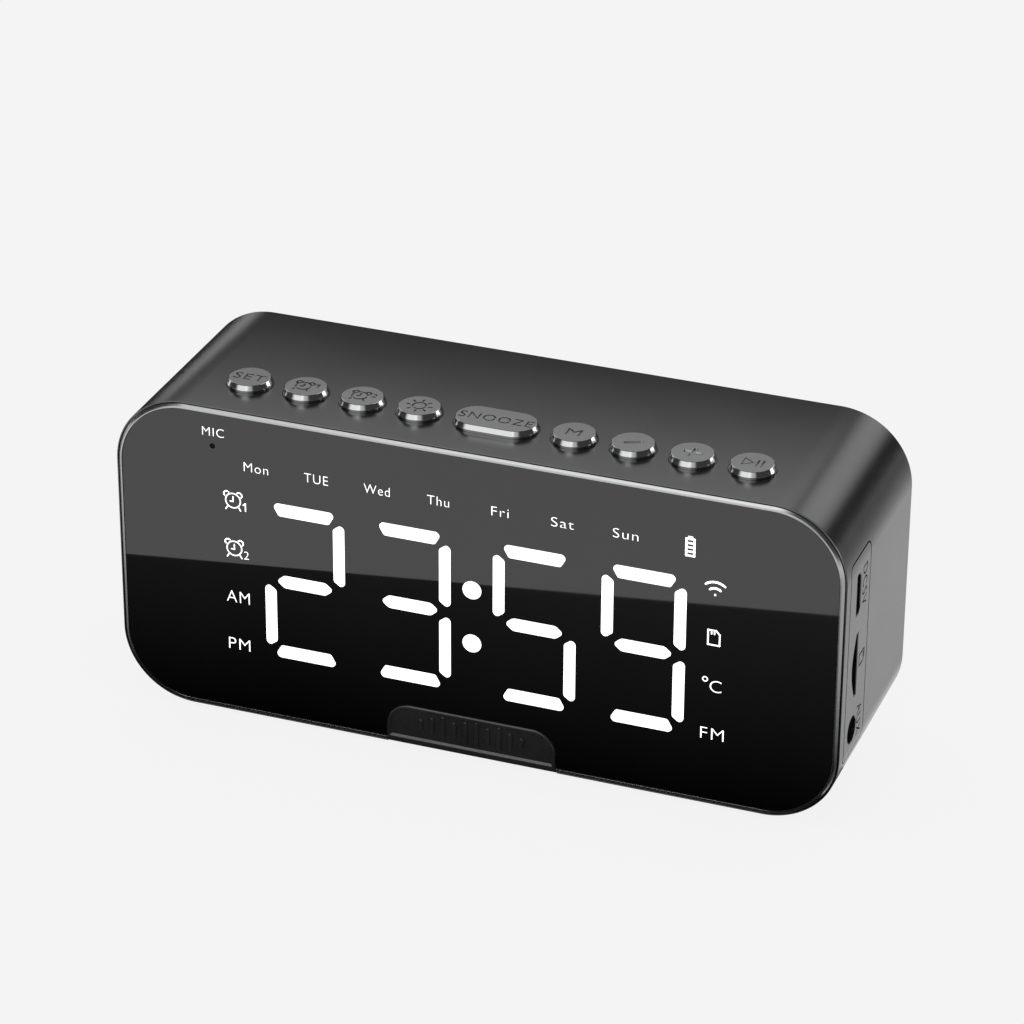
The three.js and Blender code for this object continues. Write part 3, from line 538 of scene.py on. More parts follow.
def mirror_glass(name):
    """Black half-mirror sheet: a deep black with a clean reflection and faint smears."""
    f = Finish(name).set(Metallic=0.0, IOR=1.75)
    smear = f.noise(35, 4, 0.6, (1.0, 1.0, 0.4))
    f.feed("Base Color", f.shades(smear, (0.0004, 0.0004, 0.0005), (0.0012, 0.0012, 0.0013)))
    f.feed("Roughness", f.span(smear, 0.012, 0.035))
    return f.material


def lit(name, colour, strength):
    """Light behind a milky diffuser, very slightly uneven."""
    f = Finish(name).set(Roughness=0.5)
    f.shader.inputs["Base Color"].default_value = (*scaled(colour, 0.8), 1.0)
    glow = f.noise(220, 1)
    f.feed("Emission Color", f.shades(glow, scaled(colour, 0.97), colour))
    f.shader.inputs["Emission Strength"].default_value = strength
    return f.material


def moulded(name, colour, roughness, grain, scale=1800, gloss=0.5):
    """Moulded plastic with a spark-eroded grain."""
    f = Finish(name).set(Metallic=0.0)
    f.shader.inputs["Specular IOR Level"].default_value = gloss
    grit = f.cells(scale)
    f.feed("Base Color", f.shades(f.noise(140, 3), scaled(colour, 0.88), scaled(colour, 1.12)))
    f.feed("Roughness", f.span(f.noise(600, 2), roughness - 0.06, roughness + 0.06))
    soft = f.bump(grit, grain, 0.5)
    f.bump(f.noise(scale * 2.2, 2), grain * 0.6, 0.4, after=soft)
    return f.material


def soft_rubber(name, colour):
    """Satin silicone with a trace of sheen."""
    f = Finish(name).set(Metallic=0.0, IOR=1.6, Sheen_Weight=0.03, Sheen_Roughness=0.4)
    f.shader.inputs["Specular IOR Level"].default_value = 0.8
    f.feed("Base Color", f.shades(f.noise(260, 4, 0.6), scaled(colour, 0.55), scaled(colour, 0.85)))
    f.feed("Roughness", f.span(f.noise(1800, 3), 0.27, 0.34))
    fine = f.bump(f.noise(9000, 2), 0.000008, 0.3)
    f.bump(f.cells(5200), 0.000005, 0.2, after=fine)
    return f.material


def sunk_mark_dark(name):
    """Near-black colour on the sunk faces of the port plate's marks."""
    f = Finish(name).set(Metallic=0.0)
    f.feed("Base Color", f.shades(f.noise(900), (0.008, 0.008, 0.008), (0.016, 0.016, 0.016)))
    f.feed("Roughness", f.span(f.noise(1500), 0.6, 0.75))
    return f.material


def circuit_board(name):
    """Green solder mask over copper tracks."""
    f = Finish(name).set(Metallic=0.0, Coat_Weight=0.4, Coat_Roughness=0.15)
    tracks = f.nodes.new("ShaderNodeTexBrick")
    tracks.inputs["Scale"].default_value = 160
    tracks.inputs["Mortar Size"].default_value = 0.06
    f.links.new(f.coordinates, tracks.inputs["Vector"])
    f.feed("Base Color", f.shades(tracks.outputs["Fac"], (0.006, 0.07, 0.025), (0.02, 0.14, 0.05), 0.4, 0.6))
    f.feed("Roughness", f.span(f.noise(400), 0.3, 0.45))
    f.bump(tracks.outputs["Fac"], 0.00003, 0.5)
    return f.material


def fibrous(name, colour):
    """Pressed pulp, felt or foam."""
    f = Finish(name).set(Metallic=0.0)
    fibre = f.noise(1500, 5, 0.7, (1.0, 1.0, 0.35))
    f.feed("Base Color", f.shades(fibre, scaled(colour, 0.6), scaled(colour, 1.6)))
    f.feed("Roughness", f.span(fibre, 0.75, 0.95))
    f.bump(fibre, 0.00008, 0.6)
    return f.material


MATERIALS = {}


def make_materials():
    c = colours()
    sleeve, bezel, key = tuple(c.sleeve), tuple(c.bezel), tuple(c.key)
    MATERIALS.update({
        "sleeve_metal": blasted_metal("sleeve_metal", sleeve, 0.23, 0.015, 0.00001),
        "bezel_metal": cut_metal("bezel_metal", bezel, 0.24, (1.0, 0.2, 1.0)),
        "lens_black": mirror_glass("lens_black"),
        "key_metal": blasted_metal("key_metal", key, 0.34, 0.03, 0.000012),
        "key_cut": cut_metal("key_cut", scaled(key, 1.75), 0.13, (1.0, 1.0, 0.1)),
        "display_light": lit("display_light", tuple(c.digits), 1.08),
        "soft_rubber": soft_rubber("soft_rubber", tuple(c.rubber)),
        "black_plastic": moulded("black_plastic", (0.014, 0.014, 0.0145), 0.48, 0.00004),
        "white_plastic": moulded("white_plastic", (0.75, 0.75, 0.73), 0.5, 0.00002),
        "grey_plastic": moulded("grey_plastic", (0.1, 0.1, 0.105), 0.5, 0.00003),
        "circuit_board": circuit_board("circuit_board"),
        "bright_steel": cut_metal("bright_steel", (0.55, 0.55, 0.56), 0.25, (1.0, 0.2, 1.0)),
        "grille_mesh": blasted_metal("grille_mesh", (0.02, 0.02, 0.021), 0.45, 0.05),
        "ferrite": moulded("ferrite", (0.03, 0.03, 0.032), 0.7, 0.00006),
        "copper_wire": cut_metal("copper_wire", (0.6, 0.2, 0.08), 0.3, (1.0, 6.0, 1.0)),
        "cone_paper": fibrous("cone_paper", (0.02, 0.019, 0.018)),
        "foil": cut_metal("foil", (0.6, 0.61, 0.63), 0.35, (0.3, 1.0, 1.0)),
        "foam": fibrous("foam", (0.03, 0.03, 0.03)),
        "cable_sheath": moulded("cable_sheath", (0.25, 0.015, 0.012), 0.45, 0.00002),
        "sunk_mark_dark": sunk_mark_dark("sunk_mark_dark"),
    })


# ---------------------------------------------------------------- pieces

def piece(name, bm, materials, body=BODY, stands_for=(), angle=30.0):
    """A finished mesh as an object that rides on a body, in metres."""
    bmesh.ops.recalc_face_normals(bm, faces=bm.faces)
    mesh = bpy.data.meshes.new(name)
    bm.to_mesh(mesh)
    bm.free()
    mesh.transform(PLACE)
    for material in materials:
        mesh.materials.append(MATERIALS[material])
    mesh.shade_smooth()
    mesh.set_sharp_from_angle(angle=math.radians(angle))
    obj = bpy.data.objects.new(name, mesh)
    bpy.context.scene.collection.objects.link(obj)
    even = obj.modifiers.new("even_shading", "WEIGHTED_NORMAL")
    even.keep_sharp = True
    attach(obj, body)
    if stands_for:
        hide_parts(*stands_for)
    return obj


def key_places():
    """Each key's name, middle and top, from its node."""
    places = []
    for name in KEYS:
        low, high = node_box(f"key_{name}")
        places.append((name, (low.x + high.x) / 2, (low.y + high.y) / 2, high.z))
    return places


def key_outline(name, grow=0.0, cx=0.0, cy=0.0):
    length = SNOOZE_LENGTH if name == "snooze" else 2 * KEY_RADIUS
    return pill(length + 2 * grow, 2 * (KEY_RADIUS + grow), cx, cy)


class CLOCK_OT_sleeve(bpy.types.Operator):
    """The extruded sleeve, with its holes for the keys, the port plate and the strap"""

    bl_idname = "clock.sleeve"
    bl_label = "Sleeve"

    def execute(self, context):
        s = sizes()
        e, wall = s.edge, s.wall
        lip, rebate = 0.24, 1.5
        profile = [
            (e, 0), (0.3 * e, 0.3 * e), (0, e), (0, DEPTH - e), (0.3 * e, DEPTH - 0.3 * e), (e, DEPTH),
            (wall - e, DEPTH), (wall, DEPTH - e), (wall, rebate), (lip, rebate), (lip, 0.04), (lip - 0.04, 0),
        ]
        shell = hoop(case_outline(), profile, facing_front)
        cutters = []
        for name, x, y, _ in key_places():
            hole = key_outline(name, KEY_CLEARANCE, x, y)
            levels = (
                (0.0, HEIGHT - 2 * wall), (0.0, HEIGHT - 0.04),
                (-0.05, HEIGHT + 0.01), (-0.05, HEIGHT + wall),
            )
            cutters.append(stack(hole, levels, facing_up))
        window = rounded_rect(
            PLATE_WIDTH + 2 * s.gap, PLATE_HEIGHT + 2 * s.gap, PLATE_CORNER + s.gap, PLATE_Y, PLATE_Z)
        cutters.append(stack(window, ((0, HALF - 2 * wall), (0, HALF + wall)), facing_right))
        reach = STRAP_HIGH.x + 0.1
        cutters.append(box_solid((-reach, -wall, -wall), (reach, 2.2, 2 * wall)))
        cutters.append(box_solid((-reach, 2.0, -wall), (reach, STRAP_HIGH.y + 0.1, 0.8)))
        shell = carve(carve(shell, merged(*cutters[:-1])), cutters[-1])
        piece("sleeve", shell, ["sleeve_metal"], stands_for=("case_sleeve",))
        return {"FINISHED"}


class CLOCK_OT_front(bpy.types.Operator):
    """The cut bezel and the black mirror lens"""

    bl_idname = "clock.front"
    bl_label = "Bezel and lens"

    def execute(self, context):
        outer, crest_y = 0.44, BEZEL_LOW.y
        crest, inner = 1.08, 1.18
        mid = (outer + crest) / 2
        bulge = 0.035
        profile = [
            (outer, 1.4), (outer, 0.03), (outer + 0.02, 0.0),
            (outer + 0.2, crest_y * 0.24 - bulge), (mid, crest_y / 2 - bulge),
            (crest - 0.2, crest_y * 0.78 - bulge / 2), (crest, crest_y), (inner - 0.02, crest_y),
            (inner, crest_y + 0.03), (inner, LENS_HIGH.y + 0.1),
            (inner + 2.7, LENS_HIGH.y + 0.1), (inner + 2.7, BEZEL_HIGH.y), (2.2, BEZEL_HIGH.y), (2.2, 1.4),
        ]
        ring = hoop(case_outline(), profile, facing_front)
        gap = sizes().gap * TAB_SEAM
        reach = TAB_HALF + gap
        notch = tab_outline(reach, TAB_TOP + gap, TAB_ROOT, TAB_RADIUS + gap)
        before, behind_bezel, behind_lens = -3.0, 1.2, 3.0
        ring = carve(ring, stack(notch, ((0, before), (0, behind_bezel)), facing_front))
        ring = carve(ring, box_solid((-reach, before, -3.0), (reach, 4.0, 1.8)))
        piece("bezel", ring, ["bezel_metal"], stands_for=("front_bezel",))

        front, back, edge = LENS_LOW.y, LENS_HIGH.y, 0.06
        outline = case_outline(grow=-1.25)
        levels = ((edge, front), (0.3 * edge, front + 0.3 * edge), (0, front + edge), (0, back))
        sheet = stack(outline, levels, facing_front)
        for opening in (notch, pill(MIC_HOLE, MIC_HOLE, MIC_X, MIC_Z, 10)):
            sheet = carve(sheet, stack(opening, ((0, before), (0, behind_lens)), facing_front))
        piece("lens", sheet, ["lens_black"], stands_for=("mirror_lens",))
        return {"FINISHED"}


FILM = 0.02  # half the thickness of the lit marks
DIGITS = ((-32.6, "2"), (-11.9, "3"), (12.2, "5"), (32.9, "9"))
DIGIT_Z = 29.75
COLON_X, COLON_RISE, COLON_SIZE = 0.2, 5.5, 3.65
BARS = {"2": "abged", "3": "abgcd", "5": "afgcd", "9": "abfgcd"}
DAYS = (("Mon", 4.8), ("TUE", 4.65), ("Wed", 5.0), ("Thu", 4.2), ("Fri", 3.3), ("Sat", 4.3), ("Sun", 4.75))
FIRST_DAY_X, DAY_PITCH, DAY_Z = -41.85, 11.85, 52.24
# Words beside the digits: width, then place.
WORDS = (("AM", 4.6, -46.1, 24.8), ("PM", 4.3, -46.1, 14.8), ("C", 2.2, 46.7, 24.85), ("FM", 4.4, 46.3, 15.0))
ALARM_X, ALARM_FIGURE_X = -46.6, -44.2


def softened(corners, radius):
    """A polygon's corners drawn as short curves, each no longer than its sides allow."""
    points = []
    count = len(corners)
    for i, corner in enumerate(corners):
        here = Vector(corner)
        before, after = Vector(corners[i - 1]) - here, Vector(corners[(i + 1) % count]) - here
        reach = min(radius, before.length * 0.48, after.length * 0.48)
        start, end = here + before.normalized() * reach, here + after.normalized() * reach
        for k in range(5):
            t = k / 4
            point = (1 - t) ** 2 * start + 2 * t * (1 - t) * here + t ** 2 * end
            points.append((point.x, point.y))
    return points


def edge_bar(length, width):
    """A bar on a digit's outside: its outer edge, at +v, is the long one."""
    half, side = length / 2, width / 2
    return softened([
        (-half + 0.95, -side), (half - 0.95, -side), (half - 0.05, side - 1.0), (half - 0.1, side - 0.5),
        (half - 0.6, side), (-half + 0.6, side), (-half + 0.1, side - 0.5), (-half + 0.05, side - 1.0),
    ], 0.4)


def middle_bar(length, width):
    half, side = length / 2, width / 2
    return softened([
        (-half, -0.3), (-half + 1.2, -side), (half - 1.2, -side), (half, -0.3),
        (half, 0.3), (half - 1.2, side), (-half + 1.2, side), (-half, 0.3),
    ], 0.45)


def digit(bm, x, z, bars, front, back):
    """One seven-bar digit, its bars lettered a to g from the top round to the middle."""
    level, upright = 2.6, 2.25
    side, top = 6.85, 14.8
    flat, tall = edge_bar(11.8, level), edge_bar(12.6, upright)
    outlines = {
        "a": [(u, top + v) for u, v in flat],
        "d": [(-u, -top - v) for u, v in flat],
        "b": [(side + v, top / 2 - u) for u, v in tall],
        "c": [(side + v, -top / 2 - u) for u, v in tall],
        "e": [(-side - v, -top / 2 + u) for u, v in tall],
        "f": [(-side - v, top / 2 + u) for u, v in tall],
        "g": middle_bar(10.6, level),
    }
    for bar in bars:
        points = [(x + u, z + v) for u, v in outlines[bar]]
        stack(lambda inset, points=points: points, ((0, front), (0, back)), facing_front, bm)


def on_lens(bm, x, z, front):
    """A flat solid in x and y stood up on the lens, reading from the front."""
    bmesh.ops.transform(bm, verts=bm.verts, matrix=Matrix.Rotation(math.pi / 2, 4, "X"))
    return moved(bm, x, front, z)


class CLOCK_OT_display(bpy.types.Operator):
    """The lit digits, the colon, the days and the signs seen in the lens"""

    bl_idname = "clock.display"
    bl_label = "Display"

    def execute(self, context):
        front, depth = LENS_LOW.y - FILM, 2 * FILM
        bm = bmesh.new()
        for x, name in DIGITS:
            digit(bm, x, DIGIT_Z, BARS[name], front, front + depth)
        for z in (DIGIT_Z - COLON_RISE, DIGIT_Z + COLON_RISE):
            dot = pill(COLON_SIZE, COLON_SIZE, COLON_X, z)
            stack(dot, ((0, front), (0, front + depth)), facing_front, bm)
        piece("digits", bm, ["display_light"])

        marks = [(lettering("MIC", 1.85, depth, 4.3), -50.2, 58.16)]
        for i, (day, width) in enumerate(DAYS):
            marks.append((lettering(day, 2.0, depth, width), FIRST_DAY_X + DAY_PITCH * i, DAY_Z))
        for word, width, x, z in WORDS:
            marks.append((lettering(word, 2.6, depth, width), x, z))
        figures = (strokes([one_mark(1.75)], 0.25, depth), lettering("2", 1.75, depth))
        for figure, z in zip(figures, (44.75, 34.85)):
            marks.append((strokes(alarm_sign(4.1), 0.25, depth), ALARM_X, z))
            marks.append((figure, ALARM_FIGURE_X, z - 1.0))
        marks += (
            (strokes([circle(0, 0, 0.45)], 0.22, depth), 44.7, 26.0),
            (strokes(waves_sign(3.9), 0.4, depth), 46.1, 44.45),
            (strokes(card_sign(3.2), 0.3, depth), 46.1, 34.66),
            (battery_mark(depth), 41.27, 51.9),
        )
        labels = [on_lens(mark, x, z, LENS_LOW.y) for mark, x, z in marks]
        piece("labels", merged(*labels), ["display_light"])
        return {"FINISHED"}


def one_mark(height):
    """The figure one, with its flag."""
    top = height / 2 - 0.12
    return [(-0.4, top - 0.35), (0.05, top), (0.05, -top)]


def battery_mark(depth):
    """An upright battery: a solid body with four slits left dark, and its cap."""
    side, top, line = 0.74, 1.65, 0.4
    lines = [[(x, -top), (x, top)] for x in (-side, side)]
    lines += [[(-side, 0.5 * i * top), (side, 0.5 * i * top)] for i in range(-2, 3)]
    lines.append([(-0.3, top + line), (0.3, top + line)])
    return strokes(lines, line, depth)


class CLOCK_OT_keys(bpy.types.Operator):
    """The nine keys with their cut edges and sunk marks"""

    bl_idname = "clock.keys"
    bl_label = "Keys"

    def execute(self, context):
        s = sizes()
        cut, depth = s.key_cut, s.mark_depth
        for name, x, y, top in key_places():
            outline = key_outline(name)
            flange = HEIGHT - s.wall - 0.3
            drop = 2 * cut
            levels = (
                (0, flange), (0, top - drop - 0.05), (0.03, top - drop + 0.02),
                (cut - 0.03, top - 0.05), (cut + 0.05, top),
            )
            cap = stack(outline, levels, facing_up)
            cap = carve(cap, moved(mark_cutter(name, depth), z=top - depth + CUTTER / 2))
            for face in cap.faces:
                blasted = face.calc_center_median().z > top - 0.02 or not near_edge(face, name)
                face.material_index = 0 if blasted else 1
            base = stack(key_outline(name, 0.6), ((0, flange - 0.8), (0, flange)), facing_up)
            stem = stack(pill(2.0, 2.0, 0, 0, 10), ((0, flange - 2.4), (0, flange - 0.8)), facing_up)
            solid = merged(cap, base, stem)
            piece(f"keycap_{name}", moved(solid, x, y), ["key_metal", "key_cut"],
                  body=f"key_{name}", stands_for=(f"key_{name}",), angle=25.0)
        return {"FINISHED"}


def near_edge(face, name):
    """True for a face on the outer rim of a key, false for one in a mark."""
    centre = face.calc_center_median()
    reach = (SNOOZE_LENGTH / 2 if name == "snooze" else KEY_RADIUS) - KEY_RADIUS
    dx = max(abs(centre.x) - reach, 0.0)
    return math.hypot(dx, centre.y) > KEY_RADIUS - 0.6


CUTTER = 1.0  # thickness of the solids that sink marks


def mark_cutter(name, depth):
    """The solid that sinks a key's mark, its thickness centred on z = 0."""
    line = 0.36
    if name == "set":
        return lettering("SET", 2.5, CUTTER, 6.0, 0.0)
    if name in ("alarm_1", "alarm_2"):
        sign = strokes(alarm_sign(4.0), line, CUTTER)
        if name == "alarm_1":
            figure = strokes([one_mark(1.6)], 0.3, CUTTER)
        else:
            figure = lettering("2", 1.6, CUTTER, light=0.0)
        return merged(moved(sign, x=-0.5), moved(figure, x=2.1, y=0.8))
    if name == "light":
        return strokes(sun_sign(4.6), line, CUTTER)
    if name == "snooze":
        return lettering("SNOOZE", 2.5, CUTTER, 14.0, 0.0)
    if name == "mode":
        return lettering("M", 2.6, CUTTER, 2.8, 0.0)
    if name == "play":
        return strokes(play_sign(4.6), line, CUTTER)
    bars = [groove(3.7, 0.85, depth) for _ in range(2 if name == "plus" else 1)]
    if name == "plus":
        bmesh.ops.rotate(bars[1], verts=bars[1].verts, matrix=Matrix.Rotation(math.pi / 2, 3, "Z"))
    mark = merged(*bars)
    turn = math.radians(24 if name == "minus" else -4)
    bmesh.ops.rotate(mark, verts=mark.verts, matrix=Matrix.Rotation(turn, 3, "Z"))
    return mark


def groove(length, width, depth):
    """A round-ended cutter whose walls lean out, so that one of them catches the light."""
    lean = 0.5 * depth
    levels = ((lean, -CUTTER / 2), (0, depth - CUTTER / 2), (0, CUTTER / 2))
    return stack(pill(length, width), levels, facing_up)


class CLOCK_OT_ports(bpy.types.Operator):
    """The port plate on the right side, with its openings and sunk signs"""

    bl_idname = "clock.ports"
    bl_label = "Port plate"

    def execute(self, context):
        s = sizes()
        plate_outline = rounded_rect(PLATE_WIDTH, PLATE_HEIGHT, PLATE_CORNER, PLATE_Y, PLATE_Z)
        plate = stack(plate_outline, ((0, HALF - s.wall - 0.1), (0, HALF + 1.0)), facing_right)
        within = stack(case_outline(), ((0, -1.0), (0, DEPTH)), facing_front)
        plate = carve(plate, within, "INTERSECT")
        cutters = [moved(sign, x=HALF - s.mark_depth + CUTTER / 2) for sign in port_signs(CUTTER)]
        levels = ((0, HALF - 2 * s.wall), (0, HALF - 0.15), (-0.12, HALF + 0.01), (-0.12, HALF + 1.0))
        for outline in (usb_outline, card_outline, pill(5.2, 5.2, 7.2, 16.65, 24)):
            cutters.append(stack(outline, levels, facing_right))
        plate = carve(plate, merged(*cutters))
        # The sunk faces of the marks take the near-black colour; the rest of the plate keeps the sleeve's.
        for face in plate.faces:
            centre = face.calc_center_median()
            sunk = HALF - s.mark_depth - 0.01 < centre.x < HALF - 0.01
            face.material_index = 1 if sunk and abs(centre.y - MARKS_Y) < MARKS_HALF else 0
        piece("ports", plate, ["sleeve_metal", "sunk_mark_dark"], stands_for=("port_plate",))
        return {"FINISHED"}


def usb_outline(inset=0.0):
    """A charging socket's opening: its rear corners are cut off."""
    y0, y1, half, cut = 6.5 + inset, 9.1 - inset, 4.1 - inset, 1.15
    z = 44.1
    return [(y0, z - half + 0.2), (y0 + 0.2, z - half), (y1 - cut, z - half), (y1, z - half + cut),
            (y1, z + half - cut), (y1 - cut, z + half), (y0 + 0.2, z + half), (y0, z + half - 0.2)]


def card_outline(inset=0.0):
    """A card slot whose front side bows out for a fingertip."""
    back, half, z = 8.9 - inset, 6.33 - inset, 29.48
    start = back - 1.25 + inset
    bow = [(start - 2.1 * math.sin(math.pi * i / 12), z + half - 2 * half * i / 12) for i in range(13)]
    return list(reversed(bow)) + [(back, z + half), (back, z - half)]


def port_signs(depth):
    """Signs that read down the plate, their tops to the rear."""
    turn = Matrix(((0, 0, 1, 0), (0, 1, 0, 0), (-1, 0, 0, 0), (0, 0, 0, 1)))
    signs = (
        (lettering("DC5V", 2.9, depth, 8.2, 0.0), 44.15),
        (strokes(card_sign(3.3), 0.36, depth), 29.3),
        (lettering("AUX", 2.9, depth, 6.3, 0.0), 16.7),
    )
    for bm, z in signs:
        bmesh.ops.transform(bm, verts=bm.verts, matrix=turn)
        moved(bm, y=MARKS_Y, z=z)
    return [bm for bm, _ in signs]


class CLOCK_OT_strap(bpy.types.Operator):
    """The rubber strap with its tab at the front, and the foot pads"""

    bl_idname = "clock.strap"
    bl_label = "Strap and feet"

    def execute(self, context):
        front, back = STRAP_LOW.y, 1.1
        low, sole = 0.1, STRAP_LOW.z
        rim, sunk, margin = 0.34, 0.4, 0.8
        outline = tab_outline(TAB_HALF, TAB_TOP, TAB_ROOT, TAB_RADIUS)
        levels = ((rim, front), (0.5 * rim, front + 0.13 * rim), (0.13 * rim, front + 0.5 * rim),
                  (0, front + rim), (0, back))
        tab = stack(outline, levels, facing_front)
        side = side_outline(front, back, low)
        body = stack(lambda inset: side, ((0, -TAB_HALF - 2), (0, TAB_HALF + 2)), facing_right)
        keep = carve(tab, body, "INTERSECT")
        panel = tab_outline(TAB_HALF - margin, TAB_TOP - margin, 1.95, TAB_RADIUS - margin)
        recess = stack(panel, ((0.1, front + sunk), (0, front + sunk - 0.08), (-0.12, front + 0.12),
                               (-0.3, front - 0.02), (-0.3, front - 2)), facing_front)
        keep = carve(keep, recess)
        relief = bars_relief(front + sunk)
        under = stack(lambda inset: sole_outline(sole), ((0, -TAB_HALF), (0, TAB_HALF)), facing_right)
        piece("strap_tab", merged(keep, relief), ["soft_rubber"], stands_for=("base_strap",), angle=35.0)
        piece("strap_sole", under, ["soft_rubber"], angle=35.0)
        for i in range(1, 5):
            low_corner, high_corner = node_box(f"foot_pad_{i}")
            x, y = (low_corner.x + high_corner.x) / 2, (low_corner.y + high_corner.y) / 2
            outline = pill(16.0, 6.0, x, y)
            pad = stack(outline, ((0, high_corner.z), (0, low_corner.z + 0.25), (0.08, low_corner.z + 0.08),
                                  (0.25, low_corner.z)), facing_up)
            piece(f"foot_{i}", pad, ["soft_rubber"], stands_for=(f"foot_pad_{i}",))
        return {"FINISHED"}


def side_outline(front, back, low):
    """The tab's section: upright, with a round heel below."""
    heel = 1.2
    points = arc(front + heel, low + heel, heel, math.pi, 1.5 * math.pi, 8)
    points += [(2.0, low), (2.0, 1.7), (back, 1.7), (back, TAB_TOP + 2), (front, TAB_TOP + 2)]
    return points


def sole_outline(sole):
    """The sole's section, from behind the tab to the rear, with shallow grip grooves."""
    start, end, thick = 2.1, STRAP_HIGH.y, 0.7
    points = [(start, thick), (start, 0.1), (start + 1.0, 0.0), (start + 2.0, sole)]
    count = 9
    pitch = (end - start - 6.0) / count
    for i in range(count):
        y = start + 4.0 + i * pitch
        points += [(y, sole), (y + 0.3, sole + 0.3), (y + 0.7, sole + 0.3), (y + 1.0, sole)]
    points += [(end - 0.3, sole), (end, sole + 0.3), (end, thick)]
    return points


def bars_relief(front):
    """A row of raised level bars on the tab's panel."""
    heights = (2.2, 3.6, 5.0, 3.4, 4.6, 5.4, 3.8, 5.0, 3.4, 2.2)
    pitch, width, middle = 2.2, 0.9, 5.1
    bm = bmesh.new()
    for i, height in enumerate(heights):
        x = (i - (len(heights) - 1) / 2) * pitch
        outline = pill(height, width, x, middle, 6, upright=True)
        stack(outline, ((0.14, front - 0.34), (0.02, front - 0.24), (0, front + 0.1)), facing_front, bm)
    return bm


class CLOCK_OT_back(bpy.types.Operator):
    """The rear cover with its speaker slots, the woven screen behind them and the screws"""

    bl_idname = "clock.back"
    bl_label = "Rear cover"

    def execute(self, context):
        inner, outer = COVER_LOW.y, COVER_HIGH.y
        edge, plate, skirt_wall, head_hole = 0.25, 2.2, 1.6, 4.6
        plate_front = outer - plate
        outline = case_outline(grow=COVER_GROW)
        levels = ((0, plate_front), (0, outer - edge), (0.3 * edge, outer - 0.3 * edge), (edge, outer))
        cover = stack(outline, levels, facing_front)
        panel = rounded_rect(SLOT_SPAN + 6.0, 40.0, 5.0, 0.0, MIDDLE_Z, 12)
        levels = ((0.25, outer - 0.35), (0, outer - 0.2), (-0.15, outer + 0.01), (-0.15, outer + 1))
        cover = carve(cover, stack(panel, levels, facing_front))
        cutters = []
        levels = ((0, plate_front - 1), (0, outer - 0.6), (-0.22, outer - 0.34), (-0.22, outer + 1))
        for i in range(SLOT_COUNT):
            x = (i - (SLOT_COUNT - 1) / 2) * SLOT_PITCH
            slot = pill(SLOT_LENGTH, SLOT_WIDTH, x, MIDDLE_Z, 8, upright=True)
            cutters.append(stack(slot, levels, facing_front))
        levels = ((0, outer - 1.1), (0, outer - 0.2), (-0.2, outer + 0.01), (-0.2, outer + 1))
        for x, z in screw_places():
            cutters.append(stack(pill(head_hole, head_hole, x, z, 16), levels, facing_front))
        cover = carve(cover, merged(*cutters))
        levels = ((0, inner), (0, plate_front), (skirt_wall, plate_front), (skirt_wall, inner))
        skirt = hoop(outline, levels, facing_front)
        piece("cover", merged(cover, skirt), ["black_plastic"], stands_for=("rear_cover",))
        low, high = node_box("grille_screen")
        piece("screen_mesh", woven_screen(low, high), ["grille_mesh"], stands_for=("grille_screen",))
        for i, (x, z) in enumerate(screw_places(), 1):
            piece(f"rear_screw_{i}", screw(x, outer, z), ["bright_steel"], stands_for=(f"cover_screw_{i}",))
        return {"FINISHED"}


COVER_GROW = -2.12  # the cover's edge against the sleeve's outline
SLOT_COUNT, SLOT_PITCH = 19, 3.6
SLOT_LENGTH, SLOT_WIDTH = 34.0, 1.8
SLOT_SPAN = (SLOT_COUNT - 1) * SLOT_PITCH + SLOT_WIDTH


def screw_places():
    """The middle of each rear screw's head."""
    places = []
    for i in range(1, 5):
        low, high = node_box(f"cover_screw_{i}")
        places.append(((low.x + high.x) / 2, (low.z + high.z) / 2))
    return places


def woven_screen(low, high):
    """Two layers of crossing wires."""
    bm = bmesh.new()
    pitch, half, layer, overlap = 0.95, 0.13, 0.15, 0.01
    middle = (low.y + high.y) / 2
    across = int((high.x - low.x) / pitch)
    up = int((high.z - low.z) / pitch)
    for i in range(across + 1):
        x = low.x + half + i * (high.x - low.x - 2 * half) / across
        block(bm, (x - half, middle - layer, low.z), (x + half, middle + overlap, high.z))
    for i in range(up + 1):
        z = low.z + half + i * (high.z - low.z - 2 * half) / up
        block(bm, (low.x, middle - overlap, z - half), (high.x, middle + layer, z + half))
    return bm


def screw(x, outer, z):
    """A pan head with a cross recess, and its shank."""
    head, neck, length = 2.1, 1.1, 10.0
    arm, slit, recess = 1.15, 0.24, 0.75
    levels = (
        (neck, outer - length), (neck, outer - 1.0), (0, outer - 1.0), (0, outer - 0.45),
        (0.25, outer - 0.18), (0.8, outer - 0.06),
    )
    bm = stack(pill(2 * head, 2 * head, x, z, 16), levels, facing_front)
    for wide, tall in ((arm, slit), (slit, arm)):
        low, high = (x - wide, outer - recess, z - tall), (x + wide, outer + 1, z + tall)
        bm = carve(bm, box_solid(low, high))
    return bm


class CLOCK_OT_inside(bpy.types.Operator):
    """Finishes for the parts inside, which keep their frame shapes"""

    bl_idname = "clock.inside"
    bl_label = "Inside parts"

    def execute(self, context):
        slots = {row["node"]: row["material_slot"] for row in frame["record"]["subparts"]}
        for name, obj in frame["nodes"].items():
            if obj.hide_render:
                continue
            obj.data.materials.clear()
            obj.data.materials.append(MATERIALS[slots[name]])
        return {"FINISHED"}


# ---------------------------------------------------------------- stage

PALE = 0.913
DIM_STUDIO = 0.05
FLOOR_GLOW = 0.865
FLOOR_WHITE = 0.055
FLOOR_REACH = 40.0


def plane(name, corners, material):
    mesh = bpy.data.meshes.new(name)
    mesh.from_pydata(corners, [], [tuple(range(len(corners)))])
    mesh.materials.append(material)
    obj = bpy.data.objects.new(name, mesh)
    bpy.context.scene.collection.objects.link(obj)
    return obj


